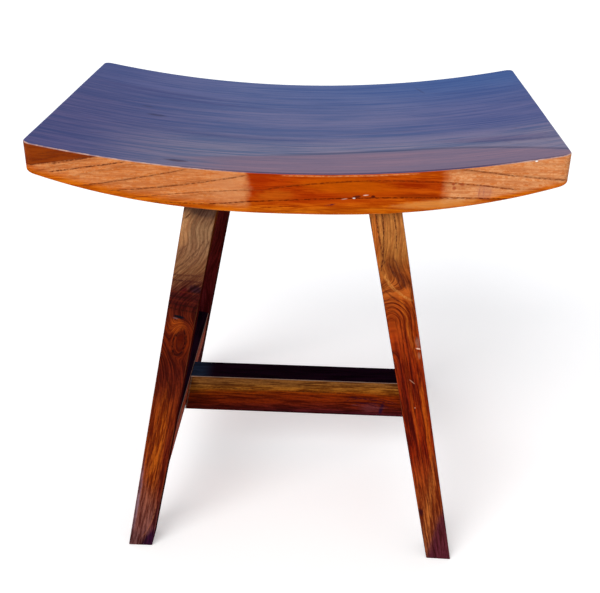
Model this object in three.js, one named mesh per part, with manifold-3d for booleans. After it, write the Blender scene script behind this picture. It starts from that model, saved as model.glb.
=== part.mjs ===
// Wooden stool: a dished plank seat on two side frames that lean towards each other, joined by one cross rail.
// Each side frame is two tapered posts and a rail between them. Every joint is a mortise and a tenon.
// Millimetres, +Z up. The origin is on the floor under the middle of the seat, and the front is towards -Y.
import * as THREE from 'three';
import { mergeVertices } from 'three/addons/utils/BufferGeometryUtils.js';
import Module from 'manifold-3d';

const wasm = await Module();
wasm.setup();

// Seat board
const seatLength = 486;
const seatDepth = 320;
const seatHeight = 450.6; // from the floor to the top at the two ends
const seatDish = 24.1; // how far the top dips at mid-length
const seatEndThickness = 28.1;
const seatMiddleThickness = 39;
const undersideFlatness = 2.4; // 2 is a plain bow, and more leaves the middle flatter and the ends more curved
const seatEasing = 1.5; // wear on the arrises, as a small round
const seatCornerRadius = 8.5; // of the four upright corners, seen from above

// Legs: square posts that taper towards the foot
const legTopWidth = 30.5;
const legFootWidth = 25.5;
const legEasing = 1.2;
const footEasing = 1.5;
const footInset = 80.5; // from the seat's end to a foot's centre line, along X
const footOutset = 6; // from the seat's front or back to a foot's centre line, along Y
const frameLean = 11.3; // degrees, each side frame towards the other
const legLean = 4.5; // degrees, each leg within its frame, towards the frame's middle

// Rails
const railTopHeight = 118.5; // top of the cross rail above the floor
const railHeight = 48;
const crossRailDepth = 34;
const sideRailThickness = 24;
const railEasing = 1.2;

// Joints
const clearance = 0.3; // left all round each tenon and peg, and at each shoulder
const legTenonShoulder = 6; // from the post's face to the tenon's, all round
const seatCover = 12; // wood left above a leg's tenon
const railTenonCheek = 6; // from the rail's side to its tenon's
const railTenonShoulder = 8; // from the rail's top and bottom to its tenon's
const railTenonCover = 8; // wood left past the end of a rail's tenon
const pegDiameter = 6;
const pegCover = 6; // wood left past the blind end of a peg
const pegEasing = 0.6;

// Steps along the seat, round one of its corners, round an eased corner and round a peg
const curveSteps = 36;
const seatCornerSteps = 6;
const cornerSteps = 2;
const pegSides = 16;
const finest = 1e-9; // a length too small to matter, where a place is found by steps

const woods = {
	seat: new THREE.MeshStandardMaterial( { color: 0x7d4526, roughness: 0.3, metalness: 0, flatShading: true } ),
	leg: new THREE.MeshStandardMaterial( { color: 0x8f4d1f, roughness: 0.4, metalness: 0, flatShading: true } ),
	rail: new THREE.MeshStandardMaterial( { color: 0x7a3a1a, roughness: 0.4, metalness: 0, flatShading: true } ),
	peg: new THREE.MeshStandardMaterial( { color: 0x9a6a3c, roughness: 0.6, metalness: 0, flatShading: true } ),
};

// A closed geometry as a solid that can be joined and cut.
function solidOf( geometry ) {

	const bare = geometry.clone();
	bare.deleteAttribute( 'normal' );
	bare.deleteAttribute( 'uv' );
	const merged = mergeVertices( bare );
	return new wasm.Manifold( new wasm.Mesh( {
		numProp: 3,
		vertProperties: merged.attributes.position.array,
		triVerts: new Uint32Array( merged.index.array ),
	} ) );

}

// A solid back as a geometry.
function geometryOf( solid ) {

	const { vertProperties, triVerts } = solid.getMesh();
	return new THREE.BufferGeometry()
		.setAttribute( 'position', new THREE.BufferAttribute( vertProperties, 3 ) )
		.setIndex( new THREE.BufferAttribute( triVerts, 1 ) );

}

// A geometry drawn in one group's frame, moved into another group's frame.
function carried( geometry, from, to ) {

	const move = to.matrixWorld.clone().invert().multiply( from.matrixWorld );
	return geometry.clone().applyMatrix4( move );

}

// A rectangle with rounded corners, as points counter-clockwise about its middle.
function easedRectangle( width, depth, easing ) {

	const points = [];
	const corners = [ [ 1, 1 ], [ - 1, 1 ], [ - 1, - 1 ], [ 1, - 1 ] ];
	corners.forEach( ( [ sideX, sideY ], quarter ) => {

		for ( let step = 0; step <= cornerSteps; step ++ ) {

			const angle = ( quarter + step / cornerSteps ) * Math.PI / 2;
			points.push( new THREE.Vector2(
				sideX * ( width / 2 - easing ) + easing * Math.cos( angle ),
				sideY * ( depth / 2 - easing ) + easing * Math.sin( angle ),
			) );

		}

	} );
	return points;

}

// A closed solid skinned over two convex outlines of as many points each, the first below the second along +Z.
function loft( lower, lowerZ, upper, upperZ ) {

	const count = lower.length;
	const positions = [
		...lower.flatMap( ( p ) => [ p.x, p.y, lowerZ ] ),
		...upper.flatMap( ( p ) => [ p.x, p.y, upperZ ] ),
	];
	const triangles = [];
	for ( let i = 0; i < count; i ++ ) {

		const next = ( i + 1 ) % count;
		triangles.push( i, next, count + next, i, count + next, count + i );

	}

	for ( let i = 1; i < count - 1; i ++ ) {

		triangles.push( 0, i + 1, i, count, count + i, count + i + 1 );

	}

	return new THREE.BufferGeometry()
		.setAttribute( 'position', new THREE.Float32BufferAttribute( positions, 3 ) )
		.setIndex( triangles );

}

// A box between two corners, made larger by the same amount on every side.
function block( low, high, growth = 0 ) {

	const size = new THREE.Vector3().subVectors( high, low ).addScalar( 2 * growth );
	const middle = new THREE.Vector3().addVectors( low, high ).multiplyScalar( 0.5 );
	return new THREE.BoxGeometry( size.x, size.y, size.z ).translate( middle.x, middle.y, middle.z );

}

// A peg from the origin along +Y, with its two ends eased. Growth makes it the cutter for its hole:
// larger all round, and longer on the side it is driven from, where the hole is open.
function pegBar( length, growth ) {

	const radius = pegDiameter / 2 + growth;
	const head = growth > 0 ? - pegDiameter : 0;
	const tip = length + growth;
	const profile = [
		new THREE.Vector2( 0, head ),
		new THREE.Vector2( radius - pegEasing, head ),
		new THREE.Vector2( radius, head + pegEasing ),
		new THREE.Vector2( radius, tip - pegEasing ),
		new THREE.Vector2( radius - pegEasing, tip ),
		new THREE.Vector2( 0, tip ),
	];
	return new THREE.LatheGeometry( profile, pegSides );

}

const radians = THREE.MathUtils.degToRad;

// The seat's two curves along its length. The top is an arc. The underside rises more towards its ends,
// so the board is thickest in the middle.
const halfLength = seatLength / 2;
const topRadius = ( halfLength ** 2 + seatDish ** 2 ) / ( 2 * seatDish );
const undersideRise = seatDish + seatMiddleThickness - seatEndThickness;
const topAt = ( x ) => seatHeight - seatDish + topRadius - Math.sqrt( topRadius ** 2 - x ** 2 );
const undersideAt = ( x ) => {

	const middle = seatHeight - seatDish - seatMiddleThickness;
	return middle + undersideRise * Math.abs( x / halfLength ) ** undersideFlatness;

};

// The feet, between their centre lines on the floor.
const footSpacingAcross = seatLength - 2 * footInset;
const footSpacingDeep = seatDepth + 2 * footOutset;

// The two side frames and, in each, the two legs are nested groups, so the stool leans as its maker set it.
// A frame's own X is across the frame's thickness, and a leg's own Z runs up its centre line from the floor.
const stool = new THREE.Group();
const sides = [ { name: 'left', across: - 1 }, { name: 'right', across: 1 } ];
const ends = [ { name: 'front', deep: - 1 }, { name: 'rear', deep: 1 } ];
for ( const side of sides ) {

	side.inward = - side.across;
	side.frame = new THREE.Group();
	side.frame.position.x = side.across * footSpacingAcross / 2;
	side.frame.rotation.y = side.inward * radians( frameLean );
	stool.add( side.frame );
	side.legs = ends.map( ( end ) => {

		const group = new THREE.Group();
		group.position.y = end.deep * footSpacingDeep / 2;
		group.rotation.x = end.deep * radians( legLean );
		side.frame.add( group );
		return { ...end, group };

	} );

}

stool.updateMatrixWorld( true );

// How far up a leg's centre line the seat's underside is, found by steps: each goes to the underside's height
// where the last one ended.
const climb = Math.cos( radians( frameLean ) ) * Math.cos( radians( legLean ) );
const sidle = Math.sin( radians( frameLean ) ) * Math.cos( radians( legLean ) );
const legOffsetAt = ( along ) => footSpacingAcross / 2 - along * sidle;
let legLength = seatHeight;
let shortfall = Infinity;
while ( Math.abs( shortfall ) > finest ) {

	shortfall = undersideAt( legOffsetAt( legLength ) ) / climb - legLength;
	legLength += shortfall;

}

const legWidthAt = ( along ) => THREE.MathUtils.lerp( legFootWidth, legTopWidth, along / legLength );
const seatThicknessOverLeg = topAt( legOffsetAt( legLength ) ) - undersideAt( legOffsetAt( legLength ) );
const legTenonLength = seatThicknessOverLeg - seatCover;
const legTenonWidth = legTopWidth - 2 * legTenonShoulder;

// The rails' places in a side frame: its rail is flush with the cross rail's top along the inner arris.
const leanSine = Math.sin( radians( frameLean ) );
const leanCosine = Math.cos( radians( frameLean ) );
const sideRailTop = ( railTopHeight + sideRailThickness / 2 * leanSine ) / leanCosine;
const sideRailMiddle = sideRailTop - railHeight / 2;
const tenonHeight = railHeight - 2 * railTenonShoulder;
const sideTenonThickness = sideRailThickness - 2 * railTenonCheek;
const crossTenonThickness = crossRailDepth - 2 * railTenonCheek;

// Where a leg's inner face is at the side rail's middle, measured from the frame's middle along Y.
const legWidthAtRail = legWidthAt( sideRailMiddle / Math.cos( radians( legLean ) ) );
const legCentreAtRail = footSpacingDeep / 2 - sideRailMiddle * Math.tan( radians( legLean ) );
const sideShoulder = legCentreAtRail - legWidthAtRail / 2;
const sideTenonReach = legCentreAtRail + legWidthAtRail / 2 - railTenonCover;

// Where a side rail's inner and outer faces are at the cross rail's middle, along X from the stool's middle.
const crossRailMiddle = railTopHeight - railHeight / 2;
const sideRailCentreOffset = footSpacingAcross / 2 - crossRailMiddle * leanSine / leanCosine;
const crossShoulder = sideRailCentreOffset - sideRailThickness / 2 / leanCosine;
const crossTenonReach = sideRailCentreOffset + sideRailThickness / 2 / leanCosine - railTenonCover;

// A post longer than the leg at both ends, with its taper and its eased arrises. Growth is added on every face.
function legStock( growth = 0 ) {

	const spare = legTopWidth;
	const section = ( along ) => {

		const width = legWidthAt( along ) + 2 * growth;
		return easedRectangle( width, width, legEasing );

	};

	return loft( section( - spare ), - spare, section( legLength + spare ), legLength + spare );

}

// All the space above the floor that a leg may fill. It opens out at 45 degrees, which eases the foot's edge.
function footSpace( leg ) {

	const foot = leg.group.getWorldPosition( new THREE.Vector3() );
	const acrossWidth = legFootWidth / leanCosine;
	const deepWidth = legFootWidth / Math.cos( radians( legLean ) );
	const lower = easedRectangle( acrossWidth - 2 * footEasing, deepWidth - 2 * footEasing, legEasing );
	const upper = easedRectangle( acrossWidth + 2 * seatHeight, deepWidth + 2 * seatHeight, legEasing );
	return loft( lower, 0, upper, seatHeight + footEasing ).translate( foot.x, foot.y, 0 );

}

// The front half of the seat's outline seen from above, from its left end to its right one: a straight front
// between two round corners, all of it drawn in by the same inset.
function seatFront( inset ) {

	const reach = halfLength - seatCornerRadius;
	const middleY = seatCornerRadius - seatDepth / 2;
	const radius = seatCornerRadius - inset;
	const corner = ( middleX, quarter ) => Array.from( { length: seatCornerSteps + 1 }, ( _, step ) => {

		const angle = ( quarter + step / seatCornerSteps ) * Math.PI / 2;
		return new THREE.Vector2( middleX + radius * Math.cos( angle ), middleY + radius * Math.sin( angle ) );

	} );

	const straight = [];
	for ( let step = 1; step < curveSteps; step ++ ) {

		const x = THREE.MathUtils.lerp( - reach, reach, step / curveSteps );
		straight.push( new THREE.Vector2( x, middleY - radius ) );

	}

	return [ ...corner( - reach, 2 ), ...straight, ...corner( reach, 3 ) ];

}

// The seat board without its mortises. Rings climb its sides and round its arrises, and strips from front to
// rear close its dished top and its bowed underside.
function seatBoard() {

	const partWay = seatEasing * ( 1 - Math.SQRT1_2 );
	const levels = [
		{ inset: seatEasing, heightAt: undersideAt, rise: 0 },
		{ inset: partWay, heightAt: undersideAt, rise: partWay },
		{ inset: 0, heightAt: undersideAt, rise: seatEasing },
		{ inset: 0, heightAt: topAt, rise: - seatEasing },
		{ inset: partWay, heightAt: topAt, rise: - partWay },
		{ inset: seatEasing, heightAt: topAt, rise: 0 },
	];
	const rings = levels.map( ( { inset, heightAt, rise } ) => {

		const front = seatFront( inset );
		const rear = front.map( ( p ) => new THREE.Vector2( p.x, - p.y ) ).reverse();
		return [ ...front, ...rear ].flatMap( ( p ) => [ p.x, p.y, heightAt( p.x ) + rise ] );

	} );

	const count = rings[ 0 ].length / 3;
	const last = ( rings.length - 1 ) * count;
	const triangles = [];
	for ( let first = 0; first < last; first += count ) for ( let i = 0; i < count; i ++ ) {

		const here = first + i;
		const next = first + ( i + 1 ) % count;
		triangles.push( here, next, count + next, here, count + next, count + here );

	}

	for ( let near = 0; near < count / 2 - 1; near ++ ) {

		const far = count - 1 - near;
		triangles.push( near, far, far - 1, near, far - 1, near + 1 );
		triangles.push( last + near, last + near + 1, last + far - 1, last + near, last + far - 1, last + far );

	}

	return new THREE.BufferGeometry()
		.setAttribute( 'position', new THREE.Float32BufferAttribute( rings.flat(), 3 ) )
		.setIndex( triangles );

}

// All the space above the seat's underside and above the gap left at the legs' shoulders. It follows the bow.
function seatSpace() {

	const points = [];
	for ( let step = 0; step <= curveSteps; step ++ ) {

		const x = THREE.MathUtils.lerp( - halfLength, halfLength, step / curveSteps );
		points.push( new THREE.Vector2( x, undersideAt( x ) - clearance ) );

	}

	points.push( new THREE.Vector2( halfLength, 2 * seatHeight ) );
	points.push( new THREE.Vector2( - halfLength, 2 * seatHeight ) );
	return new THREE.ExtrudeGeometry( new THREE.Shape( points ), { depth: 2 * seatDepth, bevelEnabled: false } )
		.rotateX( Math.PI / 2 )
		.translate( 0, seatDepth, 0 );

}

// A leg's square tenon along its centre line, from inside the post to its blind end in the seat.
function legTenon( growth = 0 ) {

	const low = new THREE.Vector3( - legTenonWidth / 2, - legTenonWidth / 2, legLength - legTopWidth );
	const high = new THREE.Vector3( legTenonWidth / 2, legTenonWidth / 2, legLength + legTenonLength );
	return block( low, high, growth );

}

// The tenon on one end of a side rail, in the side frame, from inside the rail to its blind end in the leg.
function sideTenon( end, growth = 0 ) {

	const inside = sideShoulder - sideRailThickness;
	const nearer = Math.min( end.deep * inside, end.deep * sideTenonReach );
	const farther = Math.max( end.deep * inside, end.deep * sideTenonReach );
	const low = new THREE.Vector3( - sideTenonThickness / 2, nearer, sideRailMiddle - tenonHeight / 2 );
	const high = new THREE.Vector3( sideTenonThickness / 2, farther, sideRailMiddle + tenonHeight / 2 );
	return block( low, high, growth );

}

// The tenon on one end of the cross rail, level, from inside the rail to its blind end in the side rail.
function crossTenon( side, growth = 0 ) {

	const inside = crossShoulder - sideRailThickness;
	const nearer = Math.min( side.across * inside, side.across * crossTenonReach );
	const farther = Math.max( side.across * inside, side.across * crossTenonReach );
	const low = new THREE.Vector3( nearer, - crossTenonThickness / 2, crossRailMiddle - tenonHeight / 2 );
	const high = new THREE.Vector3( farther, crossTenonThickness / 2, crossRailMiddle + tenonHeight / 2 );
	return block( low, high, growth );

}

// A side rail's bar with eased arrises, square to its frame and running into both legs.
// Growth is added all round.
function sideRailStock( growth = 0 ) {

	const section = easedRectangle( sideRailThickness + 2 * growth, railHeight + 2 * growth, railEasing );
	return loft( section, - legCentreAtRail, section, legCentreAtRail )
		.rotateX( Math.PI / 2 )
		.translate( 0, 0, sideRailMiddle );

}

// The cross rail's bar with eased arrises, running into both side rails.
function crossRailStock() {

	const section = easedRectangle( railHeight, crossRailDepth, railEasing );
	return loft( section, - sideRailCentreOffset, section, sideRailCentreOffset )
		.rotateY( Math.PI / 2 )
		.translate( 0, 0, crossRailMiddle );

}

// A peg through a side rail's tenon, driven from the leg's inner face, or the hole for it when growth is given.
function framePeg( side, end, growth = 0 ) {

	const length = legWidthAtRail - pegCover;
	const face = side.inward * legWidthAtRail / 2;
	const middleOfTenon = end.deep * ( sideShoulder + sideTenonReach ) / 2;
	return pegBar( length, growth )
		.rotateZ( side.inward * Math.PI / 2 )
		.translate( face, middleOfTenon, sideRailMiddle );

}

// A peg through the cross rail's tenon, driven upwards from under the side rail, or the hole for it.
function crossPeg( side, growth = 0 ) {

	const length = railHeight - pegCover;
	const tenonLength = crossTenonReach - crossShoulder;
	const offset = side.inward * ( sideRailThickness / 2 - tenonLength / 2 );
	return pegBar( length, growth )
		.rotateX( Math.PI / 2 )
		.translate( offset, 0, sideRailTop - railHeight );

}

// The seat board, with a blind mortise in its underside for each leg's tenon.
function makeSeat() {

	let solid = solidOf( seatBoard() );
	for ( const side of sides ) for ( const leg of side.legs ) {

		solid = solid.subtract( solidOf( carried( legTenon( clearance ), leg.group, stool ) ) );

	}

	return geometryOf( solid );

}

// A leg: cut level on the floor, its shoulder scribed to the seat's underside, a tenon on top,
// and in its inner side a mortise for the side rail and a hole for the peg.
function makeLeg( side, leg ) {

	return geometryOf( solidOf( legStock() )
		.intersect( solidOf( carried( footSpace( leg ), stool, leg.group ) ) )
		.subtract( solidOf( carried( seatSpace(), stool, leg.group ) ) )
		.add( solidOf( legTenon() ) )
		.subtract( solidOf( carried( sideTenon( leg, clearance ), side.frame, leg.group ) ) )
		.subtract( solidOf( carried( framePeg( side, leg, clearance ), side.frame, leg.group ) ) ) );

}

// A side rail: shoulders cut to the leaning legs, a tenon at each end, and a mortise for the cross rail.
function makeSideRail( side ) {

	let solid = solidOf( sideRailStock() );
	for ( const leg of side.legs ) {

		solid = solid
			.subtract( solidOf( carried( legStock( clearance ), leg.group, side.frame ) ) )
			.add( solidOf( sideTenon( leg ) ) )
			.subtract( solidOf( framePeg( side, leg, clearance ) ) );

	}

	return geometryOf( solid
		.subtract( solidOf( carried( crossTenon( side, clearance ), stool, side.frame ) ) )
		.subtract( solidOf( crossPeg( side, clearance ) ) ) );

}

// The cross rail: shoulders cut to the leaning side rails, and a level tenon at each end.
function makeCrossRail() {

	let solid = solidOf( crossRailStock() );
	for ( const side of sides ) {

		solid = solid
			.subtract( solidOf( carried( sideRailStock( clearance ), side.frame, stool ) ) )
			.add( solidOf( crossTenon( side ) ) )
			.subtract( solidOf( carried( crossPeg( side, clearance ), side.frame, stool ) ) );

	}

	return geometryOf( solid );

}

// A named mesh in its group.
function addPiece( group, name, geometry, wood ) {

	const piece = new THREE.Mesh( geometry, wood );
	piece.name = name;
	group.add( piece );

}

addPiece( stool, 'seat', makeSeat(), woods.seat );
addPiece( stool, 'cross_rail', makeCrossRail(), woods.rail );
for ( const side of sides ) {

	addPiece( side.frame, `${ side.name }_side_rail`, makeSideRail( side ), woods.rail );
	addPiece( side.frame, `${ side.name }_cross_peg`, crossPeg( side ), woods.peg );
	for ( const leg of side.legs ) {

		addPiece( leg.group, `${ leg.name }_${ side.name }_leg`, makeLeg( side, leg ), woods.leg );
		addPiece( side.frame, `${ leg.name }_${ side.name }_peg`, framePeg( side, leg ), woods.peg );

	}

}

export default stool;
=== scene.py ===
"""A dished plank stool on two leaning side frames: its pieces, finishes, studio and camera.

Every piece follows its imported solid. Lengths in the classes are millimetres, in the solids' own frame with
the floor at height 0, and each finished mesh is handed over in metres. On every piece three attributes guide
the finish: "wood" is the place along, across and through the grain, "facing" is the way the plain block's
face looks in those same three directions, and "arris" is the distance from the nearest exposed arris.
"""

import logging
import math
from dataclasses import dataclass, replace
from enum import Enum
from types import SimpleNamespace
from typing import Callable, ClassVar, Mapping, Optional, Sequence, Union

import bpy
import numpy as np
from mathutils import Matrix, Vector


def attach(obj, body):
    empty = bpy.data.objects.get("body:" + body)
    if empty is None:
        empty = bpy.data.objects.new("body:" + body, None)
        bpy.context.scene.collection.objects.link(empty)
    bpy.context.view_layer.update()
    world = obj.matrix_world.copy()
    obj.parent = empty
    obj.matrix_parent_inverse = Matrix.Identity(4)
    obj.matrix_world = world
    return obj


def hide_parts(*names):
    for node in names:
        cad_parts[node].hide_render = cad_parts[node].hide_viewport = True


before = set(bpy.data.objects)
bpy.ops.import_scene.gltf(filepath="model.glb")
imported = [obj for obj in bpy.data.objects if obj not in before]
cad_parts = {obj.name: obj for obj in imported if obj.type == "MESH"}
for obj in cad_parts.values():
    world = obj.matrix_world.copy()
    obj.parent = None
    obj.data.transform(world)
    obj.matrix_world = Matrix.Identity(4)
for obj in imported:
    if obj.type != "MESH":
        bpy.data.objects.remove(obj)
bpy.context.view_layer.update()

METRE = 0.001
FAR = 1000.0
PLANING_WAVES = (210.0, 130.0, 74.0, 41.0)
SHARP_ANGLE = math.radians(50.0)
RAIL_PLANING = 0.1
RAIL_CELL = (4.0, 2.4, 2.4)
WHITE = (1.0, 1.0, 1.0)

Array = np.ndarray
Triple = tuple[float, float, float]
Tone = Triple
Tones = tuple[tuple[float, Tone], ...]
Tints = tuple[Tone, Tone]
Socket = bpy.types.NodeSocket
Feed = Union["Value", float, Sequence[float]]

logging.basicConfig(level=logging.INFO, format="%(message)s")
log = logging.getLogger("stool")


class Side(Enum):
    """The stool's two side frames, by the sign of X."""

    LEFT = -1
    RIGHT = 1


class End(Enum):
    """A side frame's two legs, by the sign of Y."""

    FRONT = -1
    REAR = 1


class Wood(Enum):
    """The record's material slots."""

    SEAT = "seat_wood"
    LEG = "leg_wood"
    RAIL = "rail_wood"
    PEG = "peg_wood"


# Sizes


@dataclass(frozen=True)
class SeatSizes:
    """The seat board: an arc along its top and a fuller bow along its underside."""

    length: float = 486.0
    depth: float = 320.0
    height: float = 450.6
    dish: float = 24.1
    end_thickness: float = 28.1
    middle_thickness: float = 39.0
    flatness: float = 2.4
    easing: float = 1.6
    corner: float = 8.8

    def top_at(self, x: Array) -> Array:
        """Height of the top: an arc through both ends, lower by the dish in the middle.

        Args:
            x: Places along the board.

        Returns:
            The heights.
        """
        half = self.length / 2
        radius = (half**2 + self.dish**2) / (2 * self.dish)
        return self.height - self.dish + radius - np.sqrt(radius**2 - np.clip(x, -half, half) ** 2)

    def underside_at(self, x: Array) -> Array:
        """Height of the underside: a power of the distance from mid-length.

        Args:
            x: Places along the board.

        Returns:
            The heights.
        """
        rise = self.dish + self.middle_thickness - self.end_thickness
        lowest = self.height - self.dish - self.middle_thickness
        return lowest + rise * np.abs(2 * x / self.length) ** self.flatness


@dataclass(frozen=True)
class FrameSizes:
    """The side frames and the rails, with the places that follow from their leans."""

    foot_across: float = 162.5
    foot_deep: float = 166.0
    frame_lean: float = math.radians(11.3)
    leg_lean: float = math.radians(4.5)
    leg_foot: float = 25.5
    leg_top: float = 30.5
    leg_length: float = 399.2
    rail_top: float = 118.5
    rail_height: float = 48.0
    cross_depth: float = 34.0
    side_thickness: float = 24.0
    tenon_cover: float = 8.0
    easing: float = 1.2
    gap: float = 0.3
    peg_radius: float = 3.0
    peg_head: float = 0.35
    peg_cone: float = 0.6
    peg_cover: float = 6.0

    def leg_width(self, along: Array) -> Array:
        """Width of a leg at a distance up its centre line."""
        return self.leg_foot + (self.leg_top - self.leg_foot) * along / self.leg_length

    @property
    def side_rail_top(self) -> float:
        """Top of a side rail in its own frame, flush with the cross rail along the inner arris."""
        lean = self.frame_lean
        return (self.rail_top + self.side_thickness / 2 * math.sin(lean)) / math.cos(lean)

    @property
    def side_rail_middle(self) -> float:
        """Mid-height of a side rail in its own frame."""
        return self.side_rail_top - self.rail_height / 2

    @property
    def width_at_rail(self) -> float:
        """Width of a leg at the side rail's mid-height."""
        return float(self.leg_width(self.side_rail_middle / math.cos(self.leg_lean)))

    def leg_face(self, height: Array) -> Array:
        """Distance from a side frame's middle to a leg's inner face.

        Args:
            height: Heights in the frame, along its lean.

        Returns:
            The distances.
        """
        half = self.leg_width(height / math.cos(self.leg_lean)) / 2
        along = (height + half * math.sin(self.leg_lean)) / math.cos(self.leg_lean)
        return self.foot_deep - half * math.cos(self.leg_lean) - along * math.sin(self.leg_lean)

    def side_face(self, height: Array) -> Array:
        """Distance from the stool's middle to a side rail's inner face.

        Args:
            height: Heights above the floor.

        Returns:
            The distances.
        """
        lean = self.frame_lean
        inner = self.side_thickness / 2
        along = (height + inner * math.sin(lean)) / math.cos(lean)
        return self.foot_across - inner * math.cos(lean) - along * math.sin(lean)


SEAT = SeatSizes()
FRAME = FrameSizes()


# Surfaces


def leaned(points: Array, level: int, angle: float, step: float) -> Array:
    """Leans points along a level axis: a turn that carries height into it, then a step along it.

    Args:
        points: The places.
        level: The axis, 0 for X and 1 for Y.
        angle: The lean towards the axis's positive end.
        step: How far along the axis the points go after the turn.

    Returns:
        The places after the lean.
    """
    turned = points.copy()
    turned[:, level] = points[:, level] * math.cos(angle) + points[:, 2] * math.sin(angle) + step
    turned[:, 2] = points[:, 2] * math.cos(angle) - points[:, level] * math.sin(angle)
    return turned


def in_side_frame(points: Array, side: Side) -> Array:
    """Places points of a side frame in the stool."""
    return leaned(points, 0, -side.value * FRAME.frame_lean, side.value * FRAME.foot_across)


def in_leg(points: Array, end: End) -> Array:
    """Places points of a leg, Z up its centre line, in its side frame."""
    return leaned(points, 1, -end.value * FRAME.leg_lean, end.value * FRAME.foot_deep)


def linked(name: str, data: bpy.types.ID) -> bpy.types.Object:
    """Puts an object into the scene.

    Args:
        name: The object's name.
        data: Its mesh, light or camera.

    Returns:
        The object.
    """
    made = bpy.data.objects.new(name, data)
    bpy.context.scene.collection.objects.link(made)
    return made


@dataclass
class Surface:
    """A closed skin of points and faces, with what its finish needs at each point."""

    points: Array
    faces: list[list[int]]
    facing: Array
    arris: Array
    wood: Array

    def hand_worked(self, depth: float, seed: int) -> "Surface":
        """Moves each point along its facing by a sum of a few long, low waves, as planing by hand leaves.

        Args:
            depth: Height of the waves.
            seed: Sets their directions and phases.

        Returns:
            This surface.
        """
        source = np.random.default_rng(seed)
        height = np.zeros(len(self.points))
        for length in PLANING_WAVES:
            direction = source.normal(size=3)
            direction /= np.linalg.norm(direction)
            phase = source.uniform(0.0, 2 * math.pi)
            wave = np.sin(self.points @ direction * 2 * math.pi / length + phase)
            height += wave * length / PLANING_WAVES[0]
        inset = np.clip(height, -2.0, 2.0) / 2.0 - 1.0
        self.points = self.points + self.facing * (inset * depth)[:, None]
        return self

    def as_piece(self, name: str, node: str, slot: Wood, material: bpy.types.Material) -> bpy.types.Object:
        """Makes the mesh, gives it its material and hides the solid that it stands for.

        Args:
            name: The piece's name.
            node: The solid that it replaces.
            slot: The record's slot for its finish. Not used.
            material: Its finish.

        Returns:
            The piece, at the origin, in metres.
        """
        mesh = bpy.data.meshes.new(name)
        mesh.from_pydata((self.points * METRE).tolist(), [], self.faces)
        mesh.polygons.foreach_set("use_smooth", np.ones(len(mesh.polygons), dtype=bool))
        mesh.set_sharp_from_angle(angle=SHARP_ANGLE)
        for label, values in (("wood", self.wood), ("facing", self.facing)):
            layer = mesh.attributes.new(label, "FLOAT_VECTOR", "POINT")
            layer.data.foreach_set("vector", values.astype(np.float32).ravel())
        layer = mesh.attributes.new("arris", "FLOAT", "POINT")
        layer.data.foreach_set("value", self.arris.astype(np.float32))
        mesh.update()
        mesh.validate()
        mesh.materials.append(material)
        piece = linked(name, mesh)
        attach(piece, "root")
        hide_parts(node)
        log.info("%s: %d faces", name, len(mesh.polygons))
        return piece


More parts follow.
